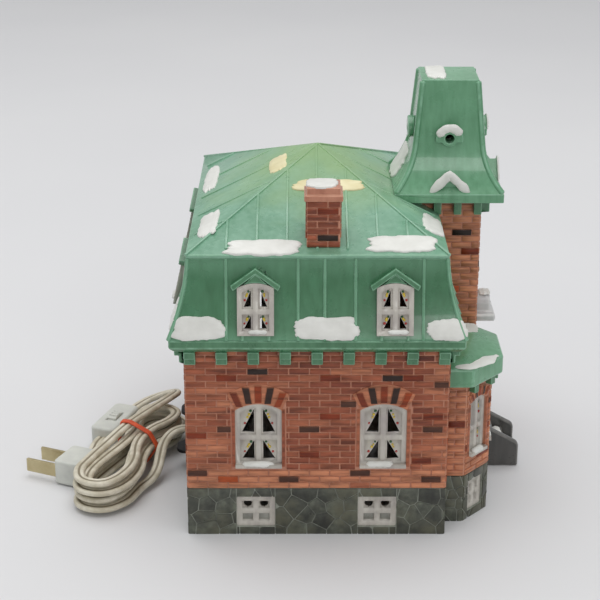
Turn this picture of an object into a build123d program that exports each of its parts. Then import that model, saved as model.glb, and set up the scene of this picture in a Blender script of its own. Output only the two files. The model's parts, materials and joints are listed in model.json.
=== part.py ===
"""Glazed ceramic village house with a clip-in lamp and its cord tied in a hank.

The house stands on Z = 0 with its plan centred on the origin. Its front, with the tower and the bay,
faces +X, and the lamp enters through the rear wall, which faces -X. The near side faces -Y.
"""
import os
from math import atan2, cos, pi, radians, sin, sqrt, tan

from build123d import *

os.makedirs("parts", exist_ok=True)

# Driving dimensions, in millimetres

# Main block
house_width = 112.0  # rear wall to front wall
house_depth = 147.0  # near wall to far wall
wall = 4.0  # thickness of the cast walls and roofs
floor_thickness = 4.0
foundation_top = 22.5
wall_height = 66.0  # of the brickwork, above the foundation

# Cornice and its brackets
cornice_height = 6.0
eave_overhang = 6.0
cornice_bevel = 2.4
bracket_width = 4.9
bracket_height = 6.6
bracket_reach = 4.2
bracket_foot_reach = 2.2
bracket_pitch = 13.5

# Mansard and the roof above its curb
mansard_height = 33.5
curb_inset = 2.3
mansard_sag = 1.6  # how far the bell-cast slope curves in behind its chord
curb_band = 1.6
curb_lip = 0.8
roof_rise = 26.9
apex_size = 2.0

# Chimney, on the near slope
chimney_x = 2.5
chimney_width = 14.0
chimney_depth = 12.5
chimney_setback = 6.1  # near wall plane to the chimney's near face
chimney_height = 27.4  # above the curb
chimney_cap_height = 3.0
corbel_height = 2.6
corbel_lip = 1.0

# Tower
tower_width = 30.0
tower_projection = 17.0  # front wall to the tower's front face
tower_rise = 41.9  # of its brickwork, above the main eave
tower_fascia = 3.9
tower_overhang = 9.0
tower_cap_height = 48.4  # above the fascia
tower_cap_top_width = 25.0
tower_waist_lip = 0.2  # beyond the brickwork, where the straight upper part of the cap starts to flare
tower_flare_height = 19.7  # of the flared foot, above the fascia
tower_bracket_width = 3.4
tower_bracket_height = 7.0
tower_bracket_reach = 4.0
tower_bracket_count = 4

# Bull's-eyes and small gables on the tower's cap
bullseye_rise = 3.6  # above the flare
bullseye_bore = 3.9
bullseye_rim = 7.2
bullseye_hood = 12.0
bullseye_reach = 2.2  # of the rim's face, beyond the cap where its flare starts
gable_width = 19.0
gable_height = 9.6
gable_band = 2.6
gable_setback = 1.0  # of the gable's face, behind the fascia

# Bay
bay_setback = 11.5  # near wall plane to the bay's near side
bay_projection = 21.0
bay_side = 9.0
bay_front = 20.0
bay_wall_height = 44.5
bay_overhang = 4.6
bay_fascia = 8.5
bay_roof_rise = 3.4
bay_roof_slope_run = 9.0
bay_bracket_width = 3.0
bay_bracket_height = 4.2
bay_bracket_reach = 3.2

# Windows: all have a frame, a mullion, a transom and four pierced curtains
window_recess = 1.0
frame_depth = 2.6
curtain = 1.2
frame_bar = 2.0
mullion = 2.2
transom_share = 0.46  # height of the transom's centre, as a share of the frame's height
gap_margin = 0.8
sill_height = 1.6
sill_reach = 1.8

main_window_width = 20.0
main_window_height = 29.6
main_window_rise = 3.0  # of the arched head
bay_window_width = 11.6
bay_window_height = 27.0
tower_window_width = 11.0
tower_window_height = 22.0
dormer_width = 15.3
dormer_height = 22.0
small_window_rise = 2.0
window_rise = 10.5  # of the sill, above the foundation
bay_window_rise = 8.5
tower_window_rise = 3.5  # above the main eave
side_window_x = (-25.0, 28.5)
rear_window_y = (-40.0, 40.0)
front_window_inset = 28.5  # of its middle, from the far wall

basement_width = 16.7
basement_height = 14.6
bay_basement_width = 11.0
basement_sill = 3.6
basement_x = (-26.5, 26.5)
basement_bar = 2.4
basement_hole = 4.2

# Dormers
dormer_x = (-25.6, 32.2)
rear_dormer_y = (-36.0, 36.0)
dormer_rise = 2.5  # of the sill, above the main eave
dormer_stand = 0.5  # of the foot of the dormer's face, beyond the eave's edge
dormer_lean_share = 0.9  # of the mansard's own lean
dormer_depth = 14.0
hood_side = 2.85  # of the hood, beyond the dormer
hood_drop = 1.0  # of its ends, below the dormer's head
hood_rise = 6.4  # of its apex, above the dormer's head
hood_band = 2.2
hood_proud = 1.2

# Door, its hood and the front steps
door_width = 13.0
door_height = 36.0
door_rise = 2.6
door_hood_rise = 52.5  # above the foundation
door_hood_width = 21.0
door_hood_reach = 9.4
door_hood_slab = 3.4
door_hood_crown = 7.6
step_count = 4
step_run = 23.5
step_shift = 3.0
steps_width = 24.0
cheek = 3.6
cheek_rise = 2.5  # above the foundation, at the tower
cheek_front = 12.0
cheek_round = 3.0

# Lamp, clipped in a round hole through the rear wall
lamp_y = -8.0
lamp_z = 19.6
lamp_hole = 25.0
socket_stub_radius = 6.0
socket_cup_radius = 7.6
socket_out = 2.0
socket_step = 6.0
socket_length = 24.0
bulb_base_radius = 5.9
bulb_base_length = 16.0
bulb_radius = 10.8
bulb_length = 38.0
bulb_belly = 15.0
bulb_tip = 1.0
lamp_clearance = 0.3
clip_radius = 9.0  # lamp axis to the clip's inner face
clip_thickness = 1.6
clip_width = 12.0
clip_foot = 4.0
clip_barb_width = 5.0
clip_barb = 2.3
clip_barb_length = 2.6
upper_ear = 7.0
lower_ear = 9.5

# Cord set, lying beside the rear wall
cord_diameter = 3.4
hank_centre = (-88.0, -14.0)
hank_heading = 70.3  # degrees from +X
hank_lift = 3.3
hank_turns = 5.25
hank_step = 5.3
hank_layer = 4.1
lower_tip = -45.0
lower_side = -28.0
lower_half = 12.5
lower_shift = -2.0
waist_place = 9.0
waist_half = 7.25
upper_side = 33.0
upper_half = 12.8
upper_tip = 44.5
upper_shift = -0.5
band_thickness = 1.2
band_width = 3.0
band_clearance = 0.3

switch_length = 30.0
switch_width = 13.0
switch_height = 11.0
switch_lift = 0.5
switch_place = (45.5, 22.0)  # far end of the switch, in the hank's frame
switch_corner = 3.0
wheel_radius = 6.0
wheel_width = 4.5
wheel_clearance = 0.3
wheel_rise = 1.5
wheel_axle = 1.0
wheel_notches = 16
wheel_notch = 0.5

plug_length = 18.0
plug_width = 13.0
plug_height = 12.0
plug_place = (-6.6, 19.5)  # cord entry of the plug, in the hank's frame
plug_turn = -4.0  # degrees, cord entry against the hank's axis
plug_corner = 2.0
blade_length = 16.0
blade_width = 6.35
blade_thickness = 1.5
blade_spacing = 12.7

# Places worked out from them
half_width = house_width / 2
half_depth = house_depth / 2
wall_top = foundation_top + wall_height
eave_level = wall_top + cornice_height
curb_level = eave_level + mansard_height
apex_level = curb_level + curb_band + roof_rise
tower_half = tower_width / 2
tower_face = half_width + tower_projection
tower_rear = tower_face - tower_width
tower_x = tower_face - tower_half
tower_eave_half = tower_half + tower_overhang
tower_waist_half = tower_half + tower_waist_lip
tower_wall_top = eave_level + tower_rise
fascia_top = tower_wall_top + tower_fascia
tower_waist_level = fascia_top + tower_flare_height
tower_cap_top = fascia_top + tower_cap_height
bullseye_level = tower_waist_level + bullseye_rise
bullseye_proud = tower_waist_half + bullseye_reach
gable_proud = tower_eave_half - gable_setback
chimney_top = curb_level + curb_band + chimney_height
bay_wall_top = foundation_top + bay_wall_height
bay_near = -half_depth + bay_setback
bay_far = -tower_half
bay_slant = (bay_far - bay_near - bay_front) / 2
bay_turn = atan2(bay_slant, bay_projection - bay_side)
far_out = 2 * (house_width + house_depth)
front_window_y = half_depth - front_window_inset
cord_radius = cord_diameter / 2
window_sill = foundation_top + window_rise
bay_sill = foundation_top + bay_window_rise
tower_sill = eave_level + tower_window_rise
dormer_sill = eave_level + dormer_rise
dormer_lean = dormer_lean_share * atan2(eave_overhang + curb_inset, curb_level - eave_level)
hood_half = dormer_width / 2 + hood_side
hood_foot = dormer_height - hood_drop
hood_apex = dormer_height + hood_rise
main_window = (main_window_width, main_window_height, main_window_rise)
bay_window = (bay_window_width, bay_window_height, small_window_rise)
tower_window = (tower_window_width, tower_window_height, small_window_rise)
dormer_window = (dormer_width, dormer_height, small_window_rise)


def keep(part, name):
    """Name a finished piece and write it."""
    part.label = name
    export_step(part, f"parts/{name}.step")


def near_face(x, z, out=half_depth):
    """Plane on the near wall: local X to the right, local Y up, outwards along local Z."""
    return Plane(origin=(x, -out, z), x_dir=(1, 0, 0), z_dir=(0, -1, 0))


def far_face(x, z, out=half_depth):
    """Plane on the far wall."""
    return Plane(origin=(x, out, z), x_dir=(-1, 0, 0), z_dir=(0, 1, 0))


def rear_face(y, z, out=half_width):
    """Plane on the rear wall."""
    return Plane(origin=(-out, y, z), x_dir=(0, -1, 0), z_dir=(-1, 0, 0))


def front_face(y, z, out=half_width):
    """Plane on the front wall."""
    return Plane(origin=(out, y, z), x_dir=(0, 1, 0), z_dir=(1, 0, 0))


def leaning(face):
    """The same plane, leaning back about its foot as the mansard's slope does."""
    return Plane(face.origin, face.x_dir, face.z_dir * cos(dormer_lean) + face.y_dir * sin(dormer_lean))


def bay_face(start, end, z):
    """Plane on the middle of one face of the bay, between two corners of its plan."""
    run = Vector(end[0] - start[0], end[1] - start[1], 0).normalized()
    middle = ((start[0] + end[0]) / 2, (start[1] + end[1]) / 2, z)
    return Plane(origin=middle, x_dir=run, z_dir=run.cross(Vector(0, 0, 1)))


def bay_corners(grow=0.0, far_inset=0.0):
    """Corners of the bay's plan, moved outwards, from the near end of the front wall to its far end."""
    front = half_width + bay_projection + grow
    first_slide = grow * tan(bay_turn / 2)
    second_slide = grow * tan((radians(90) - bay_turn) / 2)
    far_corner = bay_far - bay_slant + second_slide
    far_end = bay_far - far_inset
    far_x = front - (far_end - far_corner) / tan(bay_turn)
    return [
        (half_width, bay_near - grow),
        (half_width + bay_side + first_slide, bay_near - grow),
        (front, bay_near + bay_slant - second_slide),
        (front, far_corner),
        (far_x, far_end),
        (half_width, far_end),
    ]


def arched_outline(width, height, rise):
    """Upright outline with a shallow arched head, standing on the local X axis."""
    with BuildSketch() as outline:
        with BuildLine():
            Polyline((-width / 2, height - rise), (-width / 2, 0), (width / 2, 0), (width / 2, height - rise))
            ThreePointArc((width / 2, height - rise), (0, height), (-width / 2, height - rise))
        make_face()
    return outline.sketch


def window_panes(width, height, rise):
    """The four panes inside an arched frame, between its bars."""
    with BuildSketch() as panes:
        with Locations((0, frame_bar)):
            add(arched_outline(width - 2 * frame_bar, height - 2 * frame_bar, rise))
        with Locations((0, height / 2)):
            Rectangle(mullion, height, mode=Mode.SUBTRACT)
        with Locations((0, height * transom_share)):
            Rectangle(width, mullion, mode=Mode.SUBTRACT)
    return panes.sketch


def curtain_gaps(width, height, rise):
    """Right-angled gaps between drawn curtains, upright along the mullion, one in each pane."""
    inner = mullion / 2 + gap_margin
    outer = width / 2 - frame_bar - gap_margin
    sill = frame_bar + gap_margin
    below = height * transom_share - mullion / 2 - gap_margin
    above = height * transom_share + mullion / 2 + gap_margin
    head = height - frame_bar - gap_margin - rise * (2 * inner / (width - 2 * frame_bar)) ** 2
    with BuildSketch() as gaps:
        for side in (-1, 1):
            for low, high in ((sill, below), (above, head)):
                with BuildLine():
                    Polyline((side * inner, low), (side * inner, high), (side * outer, low), close=True)
                make_face()
    return gaps.sketch


def window_unit(face, size):
    """Arched window in its wall: frame with a sill, four curtains and the gaps between them."""
    width = size[0]
    with BuildPart() as unit:
        with BuildSketch(face.offset(-window_recess)):
            add(arched_outline(*size))
        extrude(amount=-frame_depth)
        with BuildSketch(face.offset(-window_recess)):
            add(window_panes(*size))
        extrude(amount=-(frame_depth - curtain), mode=Mode.SUBTRACT)
        with BuildSketch(face.offset(-window_recess)):
            add(curtain_gaps(*size))
        extrude(amount=-frame_depth, mode=Mode.SUBTRACT)
        with BuildSketch(face.offset(-window_recess)):
            Rectangle(width, sill_height, align=(Align.CENTER, Align.MIN))
        extrude(amount=window_recess + sill_reach)
    return unit.part


def basement_unit(face, width):
    """Square basement window: two-by-two lights, the upper pair pierced by round holes."""
    light = (width - 3 * basement_bar) / 2
    rise = (basement_height - 3 * basement_bar) / 2
    across = (light + basement_bar) / 2
    up = (rise + basement_bar) / 2
    middle = basement_height / 2
    with BuildPart() as unit:
        with BuildSketch(face.offset(-window_recess)):
            Rectangle(width, basement_height, align=(Align.CENTER, Align.MIN))
        extrude(amount=-frame_depth)
        with BuildSketch(face.offset(-window_recess)):
            with Locations((0, middle)):
                with GridLocations(2 * across, 2 * up, 2, 2):
                    Rectangle(light, rise)
        extrude(amount=-(frame_depth - curtain), mode=Mode.SUBTRACT)
        with BuildSketch(face.offset(-window_recess)):
            with Locations((-across, middle + up), (across, middle + up)):
                Circle(min(basement_hole, light, rise) / 2)
        extrude(amount=-frame_depth, mode=Mode.SUBTRACT)
    return unit.part


def bell_hull(eave_half_x, eave_half_y, curb_half_x, curb_half_y):
    """Solid four-sided roof whose slopes curve in like a bell, from the eave up to the curb."""
    middle = (eave_level + curb_level) / 2
    with BuildPart() as hull:
        for plane, eave, curb, mode in (
            (Plane.XZ, eave_half_x, curb_half_x, Mode.ADD),
            (Plane.YZ, eave_half_y, curb_half_y, Mode.INTERSECT),
        ):
            belly = (eave + curb) / 2 - mansard_sag
            with BuildSketch(plane):
                with BuildLine():
                    Line((-eave, eave_level), (eave, eave_level))
                    ThreePointArc((eave, eave_level), (belly, middle), (curb, curb_level))
                    Line((curb, curb_level), (-curb, curb_level))
                    ThreePointArc((-curb, curb_level), (-belly, middle), (-eave, eave_level))
                make_face()
            extrude(amount=far_out, both=True, mode=mode)
    return hull.part


def tower_block(low, high, inset=0.0, rear=tower_rear):
    """Upright block on the tower's plan, made smaller all round by an inset."""
    with BuildPart() as block:
        with BuildSketch(Plane.XY.offset(low)):
            with Locations(((rear + inset + tower_face - inset) / 2, 0)):
                Rectangle(tower_face - rear - 2 * inset, tower_width - 2 * inset)
        extrude(amount=high - low)
    return block.part


# Openings that pass from one piece into the next
side_windows = [near_face(x, window_sill) for x in side_window_x]
side_windows += [far_face(x, window_sill) for x in side_window_x]
rear_windows = [rear_face(y, window_sill) for y in rear_window_y]
front_windows = [front_face(front_window_y, window_sill)]
main_window_faces = side_windows + rear_windows + front_windows
block_basement_faces = [near_face(x, basement_sill) for x in basement_x]
block_basement_faces += [far_face(x, basement_sill) for x in basement_x]
block_basement_faces += [front_face(front_window_y, basement_sill)]
bay_plan = bay_corners()
bay_sides = [(bay_plan[1], bay_plan[2]), (bay_plan[2], bay_plan[3]), (bay_plan[3], bay_plan[4])]
bay_window_faces = [bay_face(start, end, bay_sill) for start, end in bay_sides]
bay_basement_faces = [bay_face(start, end, basement_sill) for start, end in bay_sides]
side_foot = half_depth + eave_overhang + dormer_stand
rear_foot = half_width + eave_overhang + dormer_stand
near_dormers = [leaning(near_face(x, dormer_sill, side_foot)) for x in dormer_x]
far_dormers = [leaning(far_face(x, dormer_sill, side_foot)) for x in dormer_x]
rear_dormers = [leaning(rear_face(y, dormer_sill, rear_foot)) for y in rear_dormer_y]
dormer_faces = near_dormers + far_dormers + rear_dormers
lamp_face = rear_face(lamp_y, lamp_z)
door_face = front_face(0, foundation_top, tower_face)
tower_window_face = front_face(0, tower_sill, tower_face)

# Base floor, inside the foundation
with BuildPart() as base_floor:
    with BuildSketch():
        Rectangle(house_width - 2 * wall, house_depth - 2 * wall)
    extrude(amount=floor_thickness)
keep(base_floor.part, "base_floor")

# Stone foundation of the main block
with BuildPart() as foundation:
    with BuildSketch():
        Rectangle(house_width, house_depth)
        Rectangle(house_width - 2 * wall, house_depth - 2 * wall, mode=Mode.SUBTRACT)
    extrude(amount=foundation_top)
    for face in block_basement_faces:
        with BuildSketch(face):
            Rectangle(basement_width, basement_height, align=(Align.CENTER, Align.MIN))
        extrude(amount=-wall, mode=Mode.SUBTRACT)
    with BuildSketch(lamp_face):
        Circle(lamp_hole / 2)
    extrude(amount=-wall, mode=Mode.SUBTRACT)
keep(foundation.part, "foundation")

# Stone foundation of the bay
with BuildPart() as bay_foundation:
    with BuildSketch():
        with BuildLine():
            Polyline(*bay_plan, close=True)
        make_face()
        with BuildLine():
            Polyline(*bay_corners(-wall, wall), close=True)
        make_face(mode=Mode.SUBTRACT)
    extrude(amount=foundation_top)
    for face in bay_basement_faces:
        with BuildSketch(face):
            Rectangle(bay_basement_width, basement_height, align=(Align.CENTER, Align.MIN))
        extrude(amount=-wall, mode=Mode.SUBTRACT)
keep(bay_foundation.part, "bay_foundation")

# Stone foundation of the tower
with BuildPart() as tower_foundation:
    add(tower_block(0, foundation_top, rear=half_width))
    add(tower_block(0, foundation_top, wall, half_width - wall), mode=Mode.SUBTRACT)
keep(tower_foundation.part, "tower_foundation")

# Brick walls of the main block, open to the tower and the bay
bay_passage = bay_wall_top - foundation_top - wall
with BuildPart() as house_walls:
    with BuildSketch(Plane.XY.offset(foundation_top)):
        Rectangle(house_width, house_depth)
        Rectangle(house_width - 2 * wall, house_depth - 2 * wall, mode=Mode.SUBTRACT)
    extrude(amount=wall_top - foundation_top)
    for face in main_window_faces:
        with BuildSketch(face):
            add(arched_outline(*main_window))
        extrude(amount=-wall, mode=Mode.SUBTRACT)
    with BuildSketch(lamp_face):
        Circle(lamp_hole / 2)
    extrude(amount=-wall, mode=Mode.SUBTRACT)
    with BuildSketch(front_face(0, foundation_top)):
        Rectangle(tower_width - 2 * wall, wall_top - foundation_top, align=(Align.CENTER, Align.MIN))
    extrude(amount=-wall, mode=Mode.SUBTRACT)
    with BuildSketch(front_face((bay_near + bay_far) / 2, foundation_top + wall)):
        Rectangle(bay_far - bay_near - 2 * wall, bay_passage, align=(Align.CENTER, Align.MIN))
    extrude(amount=-wall, mode=Mode.SUBTRACT)
keep(house_walls.part, "house_walls")

# Brick walls of the bay
with BuildPart() as bay_walls:
    with BuildSketch(Plane.XY.offset(foundation_top)):
        with BuildLine():
            Polyline(*bay_plan, close=True)
        make_face()
        with BuildLine():
            Polyline(*bay_corners(-wall, wall), close=True)
        make_face(mode=Mode.SUBTRACT)
    extrude(amount=bay_wall_top - foundation_top)
    for face in bay_window_faces:
        with BuildSketch(face):
            add(arched_outline(*bay_window))
        extrude(amount=-wall, mode=Mode.SUBTRACT)
keep(bay_walls.part, "bay_walls")

# Brick shaft of the tower: three-sided against the front wall, four-sided where it passes the roofs
with BuildPart() as tower_shaft:
    add(tower_block(foundation_top, wall_top, rear=half_width))
    add(tower_block(foundation_top, wall_top, wall, half_width - wall), mode=Mode.SUBTRACT)
    add(tower_block(wall_top, tower_wall_top))
    add(tower_block(wall_top, tower_wall_top, wall), mode=Mode.SUBTRACT)
    with BuildSketch(door_face):
        add(arched_outline(door_width, door_height, door_rise))
    extrude(amount=-wall, mode=Mode.SUBTRACT)
    with BuildSketch(tower_window_face):
        add(arched_outline(*tower_window))
    extrude(amount=-wall, mode=Mode.SUBTRACT)
keep(tower_shaft.part, "tower_shaft")

# Moulded cornice on the wall heads
with BuildPart() as cornice:
    with BuildSketch(Plane.XY.offset(wall_top)):
        Rectangle(house_width + 2 * eave_overhang, house_depth + 2 * eave_overhang)
    extrude(amount=cornice_height)
    chamfer(cornice.faces().sort_by(Axis.Z)[0].edges(), length=cornice_bevel)
    with BuildSketch(Plane.XY.offset(wall_top)):
        Rectangle(house_width - 2 * wall, house_depth - 2 * wall)
    extrude(amount=cornice_height, mode=Mode.SUBTRACT)
    add(tower_block(wall_top, eave_level), mode=Mode.SUBTRACT)
keep(cornice.part, "cornice")


def bracket_row(span):
    """Even bracket places along a wall, with one close to each end."""
    spaces = max(1, round((span - bracket_width) / bracket_pitch))
    step = (span - bracket_width) / spaces
    return [(index - spaces / 2) * step for index in range(spaces + 1)]


# Brackets under the cornice, clear of the tower on the front wall
front_rows = [y for y in bracket_row(house_depth) if abs(y) > tower_half + bracket_width]
with BuildPart() as cornice_brackets:
    for face, places in (
        (near_face(0, wall_top), bracket_row(house_width)),
        (far_face(0, wall_top), bracket_row(house_width)),
        (rear_face(0, wall_top), bracket_row(house_depth)),
        (front_face(0, wall_top), front_rows),
    ):
        for height, reach in ((bracket_height, bracket_foot_reach), (bracket_height / 2, bracket_reach)):
            with BuildSketch(face):
                with Locations(*[(place, 0) for place in places]):
                    Rectangle(bracket_width, height, align=(Align.CENTER, Align.MAX))
            extrude(amount=reach)
keep(cornice_brackets.part, "cornice_brackets")

# Mansard shell, open where the dormers' lights are
mansard_hull = bell_hull(
    half_width + eave_overhang, half_depth + eave_overhang, half_width - curb_inset, half_depth - curb_inset
)
mansard_room = bell_hull(
    half_width + eave_overhang - wall,
    half_depth + eave_overhang - wall,
    half_width - curb_inset - wall,
    half_depth - curb_inset - wall,
)
dormer_light = (dormer_width - 2 * frame_bar, dormer_height - 2 * frame_bar, small_window_rise)
with BuildPart() as mansard_roof:
    add(mansard_hull)
    add(mansard_room, mode=Mode.SUBTRACT)
    add(tower_block(eave_level, curb_level), mode=Mode.SUBTRACT)
    for face in dormer_faces:
        with BuildSketch(face):
            with Locations((0, frame_bar)):
                add(arched_outline(*dormer_light))
        extrude(amount=-dormer_depth, mode=Mode.SUBTRACT)
keep(mansard_roof.part, "mansard_roof")

# Low pyramid roof above the curb
with BuildPart() as roof_hull:
    with BuildSketch(Plane.XY.offset(curb_level)):
        Rectangle(house_width - 2 * curb_inset + 2 * curb_lip, house_depth - 2 * curb_inset + 2 * curb_lip)
    extrude(amount=curb_band)
    with BuildSketch(Plane.XY.offset(curb_level + curb_band)):
        Rectangle(house_width - 2 * curb_inset + 2 * curb_lip, house_depth - 2 * curb_inset + 2 * curb_lip)
    with BuildSketch(Plane.XY.offset(apex_level)):
        Rectangle(apex_size, apex_size)
    loft(ruled=True)
with BuildPart() as roof_room:
    with BuildSketch(Plane.XY.offset(curb_level)):
        Rectangle(house_width - 2 * curb_inset - 2 * wall, house_depth - 2 * curb_inset - 2 * wall)
    with BuildSketch(Plane.XY.offset(apex_level - wall)):
        Rectangle(apex_size, apex_size)
    loft(ruled=True)
with BuildPart() as upper_roof:
    add(roof_hull.part)
    add(roof_room.part, mode=Mode.SUBTRACT)
    add(tower_block(curb_level, apex_level), mode=Mode.SUBTRACT)
keep(upper_roof.part, "upper_roof")

# Chimney, bedded on the near slope
chimney_y = -half_depth + chimney_setback + chimney_depth / 2
corbel_level = chimney_top - chimney_cap_height - corbel_height
with BuildPart() as chimney:
    for level, rise, lip in (
        (curb_level, corbel_level - curb_level, 0),
        (corbel_level, corbel_height, corbel_lip),
        (corbel_level + corbel_height, chimney_cap_height, 0),
    ):
        with BuildSketch(Plane.XY.offset(level)):
            with Locations((chimney_x, chimney_y)):
                Rectangle(chimney_width + 2 * lip, chimney_depth + 2 * lip)
        extrude(amount=rise)
    add(roof_hull.part, mode=Mode.SUBTRACT)
keep(chimney.part, "chimney")

# Tower cap: a fascia, a flared foot and a tall straight upper part, bedded on the main roof
with BuildPart() as cap_hull:
    for plane, middle, mode in ((Plane.XZ, tower_x, Mode.ADD), (Plane.YZ, 0, Mode.INTERSECT)):
        with BuildSketch(plane):
            with BuildLine():
                for side in (-1, 1):
                    eave = middle + side * tower_eave_half
                    waist = middle + side * tower_waist_half
                    head = middle + side * tower_cap_top_width / 2
                    lean = (waist - head, tower_waist_level - tower_cap_top)
                    Polyline((middle, tower_cap_top), (head, tower_cap_top), (waist, tower_waist_level))
                    TangentArc((waist, tower_waist_level), (eave, fascia_top), tangent=lean)
                    Polyline((eave, fascia_top), (eave, tower_wall_top), (middle, tower_wall_top))
            make_face()
        extrude(amount=far_out, both=True, mode=mode)
with BuildPart() as tower_roof:
    add(cap_hull.part)
    with BuildSketch(Plane.XY.offset(tower_wall_top)):
        with Locations((tower_x, 0)):
            Rectangle(tower_cap_top_width - 2 * wall, tower_cap_top_width - 2 * wall)
    extrude(amount=tower_cap_top - wall - tower_wall_top, mode=Mode.SUBTRACT)
    add(roof_hull.part, mode=Mode.SUBTRACT)
    for axis_plane in (near_face(tower_x, bullseye_level, 0), front_face(0, bullseye_level, tower_x)):
        with BuildSketch(axis_plane):
            Circle(bullseye_bore / 2)
        extrude(amount=tower_eave_half, both=True, mode=Mode.SUBTRACT)
keep(tower_roof.part, "tower_roof")


def tower_planes(height, out):
    """Upright planes on the near, far, front and rear sides of the tower, at a distance from its axis."""
    return [
        near_face(tower_x, height, out),
        far_face(tower_x, height, out),
        front_face(0, height, tower_x + out),
        rear_face(0, height, out - tower_x),
    ]


# Brackets under the tower cap, on its three open sides
bracket_span = tower_width - tower_bracket_width
bracket_step = bracket_span / (tower_bracket_count - 1)
bracket_places = [(index * bracket_step - bracket_span / 2, 0) for index in range(tower_bracket_count)]
with BuildPart() as tower_brackets:
    for face in tower_planes(tower_wall_top, tower_half)[:3]:
        with BuildSketch(face):
            with Locations(*bracket_places):
                Rectangle(tower_bracket_width, tower_bracket_height, align=(Align.CENTER, Align.MAX))
        extrude(amount=tower_bracket_reach)
    add(roof_hull.part, mode=Mode.SUBTRACT)
keep(tower_brackets.part, "tower_brackets")

# Bull's-eyes: a round rim under an arched hood, one on each side of the cap
with BuildPart() as bullseye_rims:
    for face in tower_planes(bullseye_level, bullseye_proud):
        with BuildSketch(face):
            Circle(bullseye_hood / 2)
            with Locations((0, -bullseye_rim / 4)):
                Rectangle(bullseye_hood, bullseye_hood, align=(Align.CENTER, Align.MAX), mode=Mode.SUBTRACT)
            Circle(bullseye_rim / 2)
            Circle(bullseye_bore / 2, mode=Mode.SUBTRACT)
        extrude(amount=-bullseye_proud / 2)
    add(cap_hull.part, mode=Mode.SUBTRACT)
keep(bullseye_rims.part, "bullseye_rims")

# Small gables at the foot of the cap, on its three open sides
with BuildPart() as tower_gables:
    for face in tower_planes(fascia_top, gable_proud)[:3]:
        with BuildSketch(face):
            with BuildLine():
                Polyline((-gable_width / 2, 0), (gable_width / 2, 0), (0, gable_height), close=True)
            make_face()
        extrude(amount=-gable_proud / 2)
        with BuildSketch(face):
            with BuildLine():
                Polyline(
                    (-gable_width / 2 + gable_band, 0),
                    (gable_width / 2 - gable_band, 0),
                    (0, gable_height - gable_band),
                    close=True,
                )
            make_face()
        extrude(amount=-gable_band / 2, mode=Mode.SUBTRACT)
    add(cap_hull.part, mode=Mode.SUBTRACT)
keep(tower_gables.part, "tower_gables")

# Roof of the bay: a deep fascia and a low hipped top
bay_fascia_top = bay_wall_top + bay_fascia
with BuildPart() as bay_roof:
    with BuildSketch(Plane.XY.offset(bay_wall_top)):
        with BuildLine():
            Polyline(*bay_corners(bay_overhang), close=True)
        make_face()
    extrude(amount=bay_fascia)
    for level, grow in (
        (bay_fascia_top, bay_overhang),
        (bay_fascia_top + bay_roof_rise, bay_overhang - bay_roof_slope_run),
    ):
        with BuildSketch(Plane.XY.offset(level)):
            with BuildLine():
                Polyline(*bay_corners(grow), close=True)
            make_face()
    loft(ruled=True)
    with BuildSketch(Plane.XY.offset(bay_wall_top)):
        with BuildLine():
            Polyline(*bay_corners(-wall, wall), close=True)
        make_face()
    extrude(amount=bay_fascia - wall, mode=Mode.SUBTRACT)
keep(bay_roof.part, "bay_roof")

# Brackets under the bay's fascia, near the corners of its faces
with BuildPart() as bay_brackets:
    for start, end in bay_sides:
        length = sqrt((end[0] - start[0]) ** 2 + (end[1] - start[1]) ** 2)
        place = length / 2 - bay_bracket_width
        with BuildSketch(bay_face(start, end, bay_wall_top)):
            with Locations((-place, 0), (place, 0)):
                Rectangle(bay_bracket_width, bay_bracket_height, align=(Align.CENTER, Align.MAX))
        extrude(amount=bay_bracket_reach)
    add(tower_block(foundation_top, wall_top, rear=half_width), mode=Mode.SUBTRACT)
keep(bay_brackets.part, "bay_brackets")

# Arched windows of the walls, the bay and the tower
window_sets = (
    ("near_window", side_windows[: len(side_window_x)], main_window),
    ("far_window", side_windows[len(side_window_x) :], main_window),
    ("rear_window", rear_windows, main_window),
    ("front_window", front_windows, main_window),
    ("bay_window", bay_window_faces, bay_window),
    ("tower_window", [tower_window_face], tower_window),
)
for title, faces, size in window_sets:
    for number, face in enumerate(faces, start=1):
        keep(window_unit(face, size), f"{title}_{number}")

# Basement windows, all in one group
with BuildPart() as basement_windows:
    for face in block_basement_faces:
        add(basement_unit(face, basement_width))
    for face in bay_basement_faces:
        add(basement_unit(face, bay_basement_width))
keep(basement_windows.part, "basement_windows")


def dormer_frame(face):
    """Pale dormer window, standing out of the mansard's slope."""
    with BuildPart() as unit:
        with BuildSketch(face):
            add(arched_outline(*dormer_window))
        extrude(amount=-2 * frame_depth)
        with BuildSketch(face):
            with Locations((0, frame_bar)):
                add(arched_outline(*dormer_light))
        extrude(amount=-dormer_depth, mode=Mode.SUBTRACT)
        add(mansard_hull, mode=Mode.SUBTRACT)
        with BuildSketch(face):
            add(arched_outline(*dormer_window))
        extrude(amount=-frame_depth)
        with BuildSketch(face):
            add(window_panes(*dormer_window))
        extrude(amount=-(frame_depth - curtain), mode=Mode.SUBTRACT)
        with BuildSketch(face):
            add(curtain_gaps(*dormer_window))
        extrude(amount=-frame_depth, mode=Mode.SUBTRACT)
        add(mansard_roof.part, mode=Mode.SUBTRACT)
    return unit.part


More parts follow.
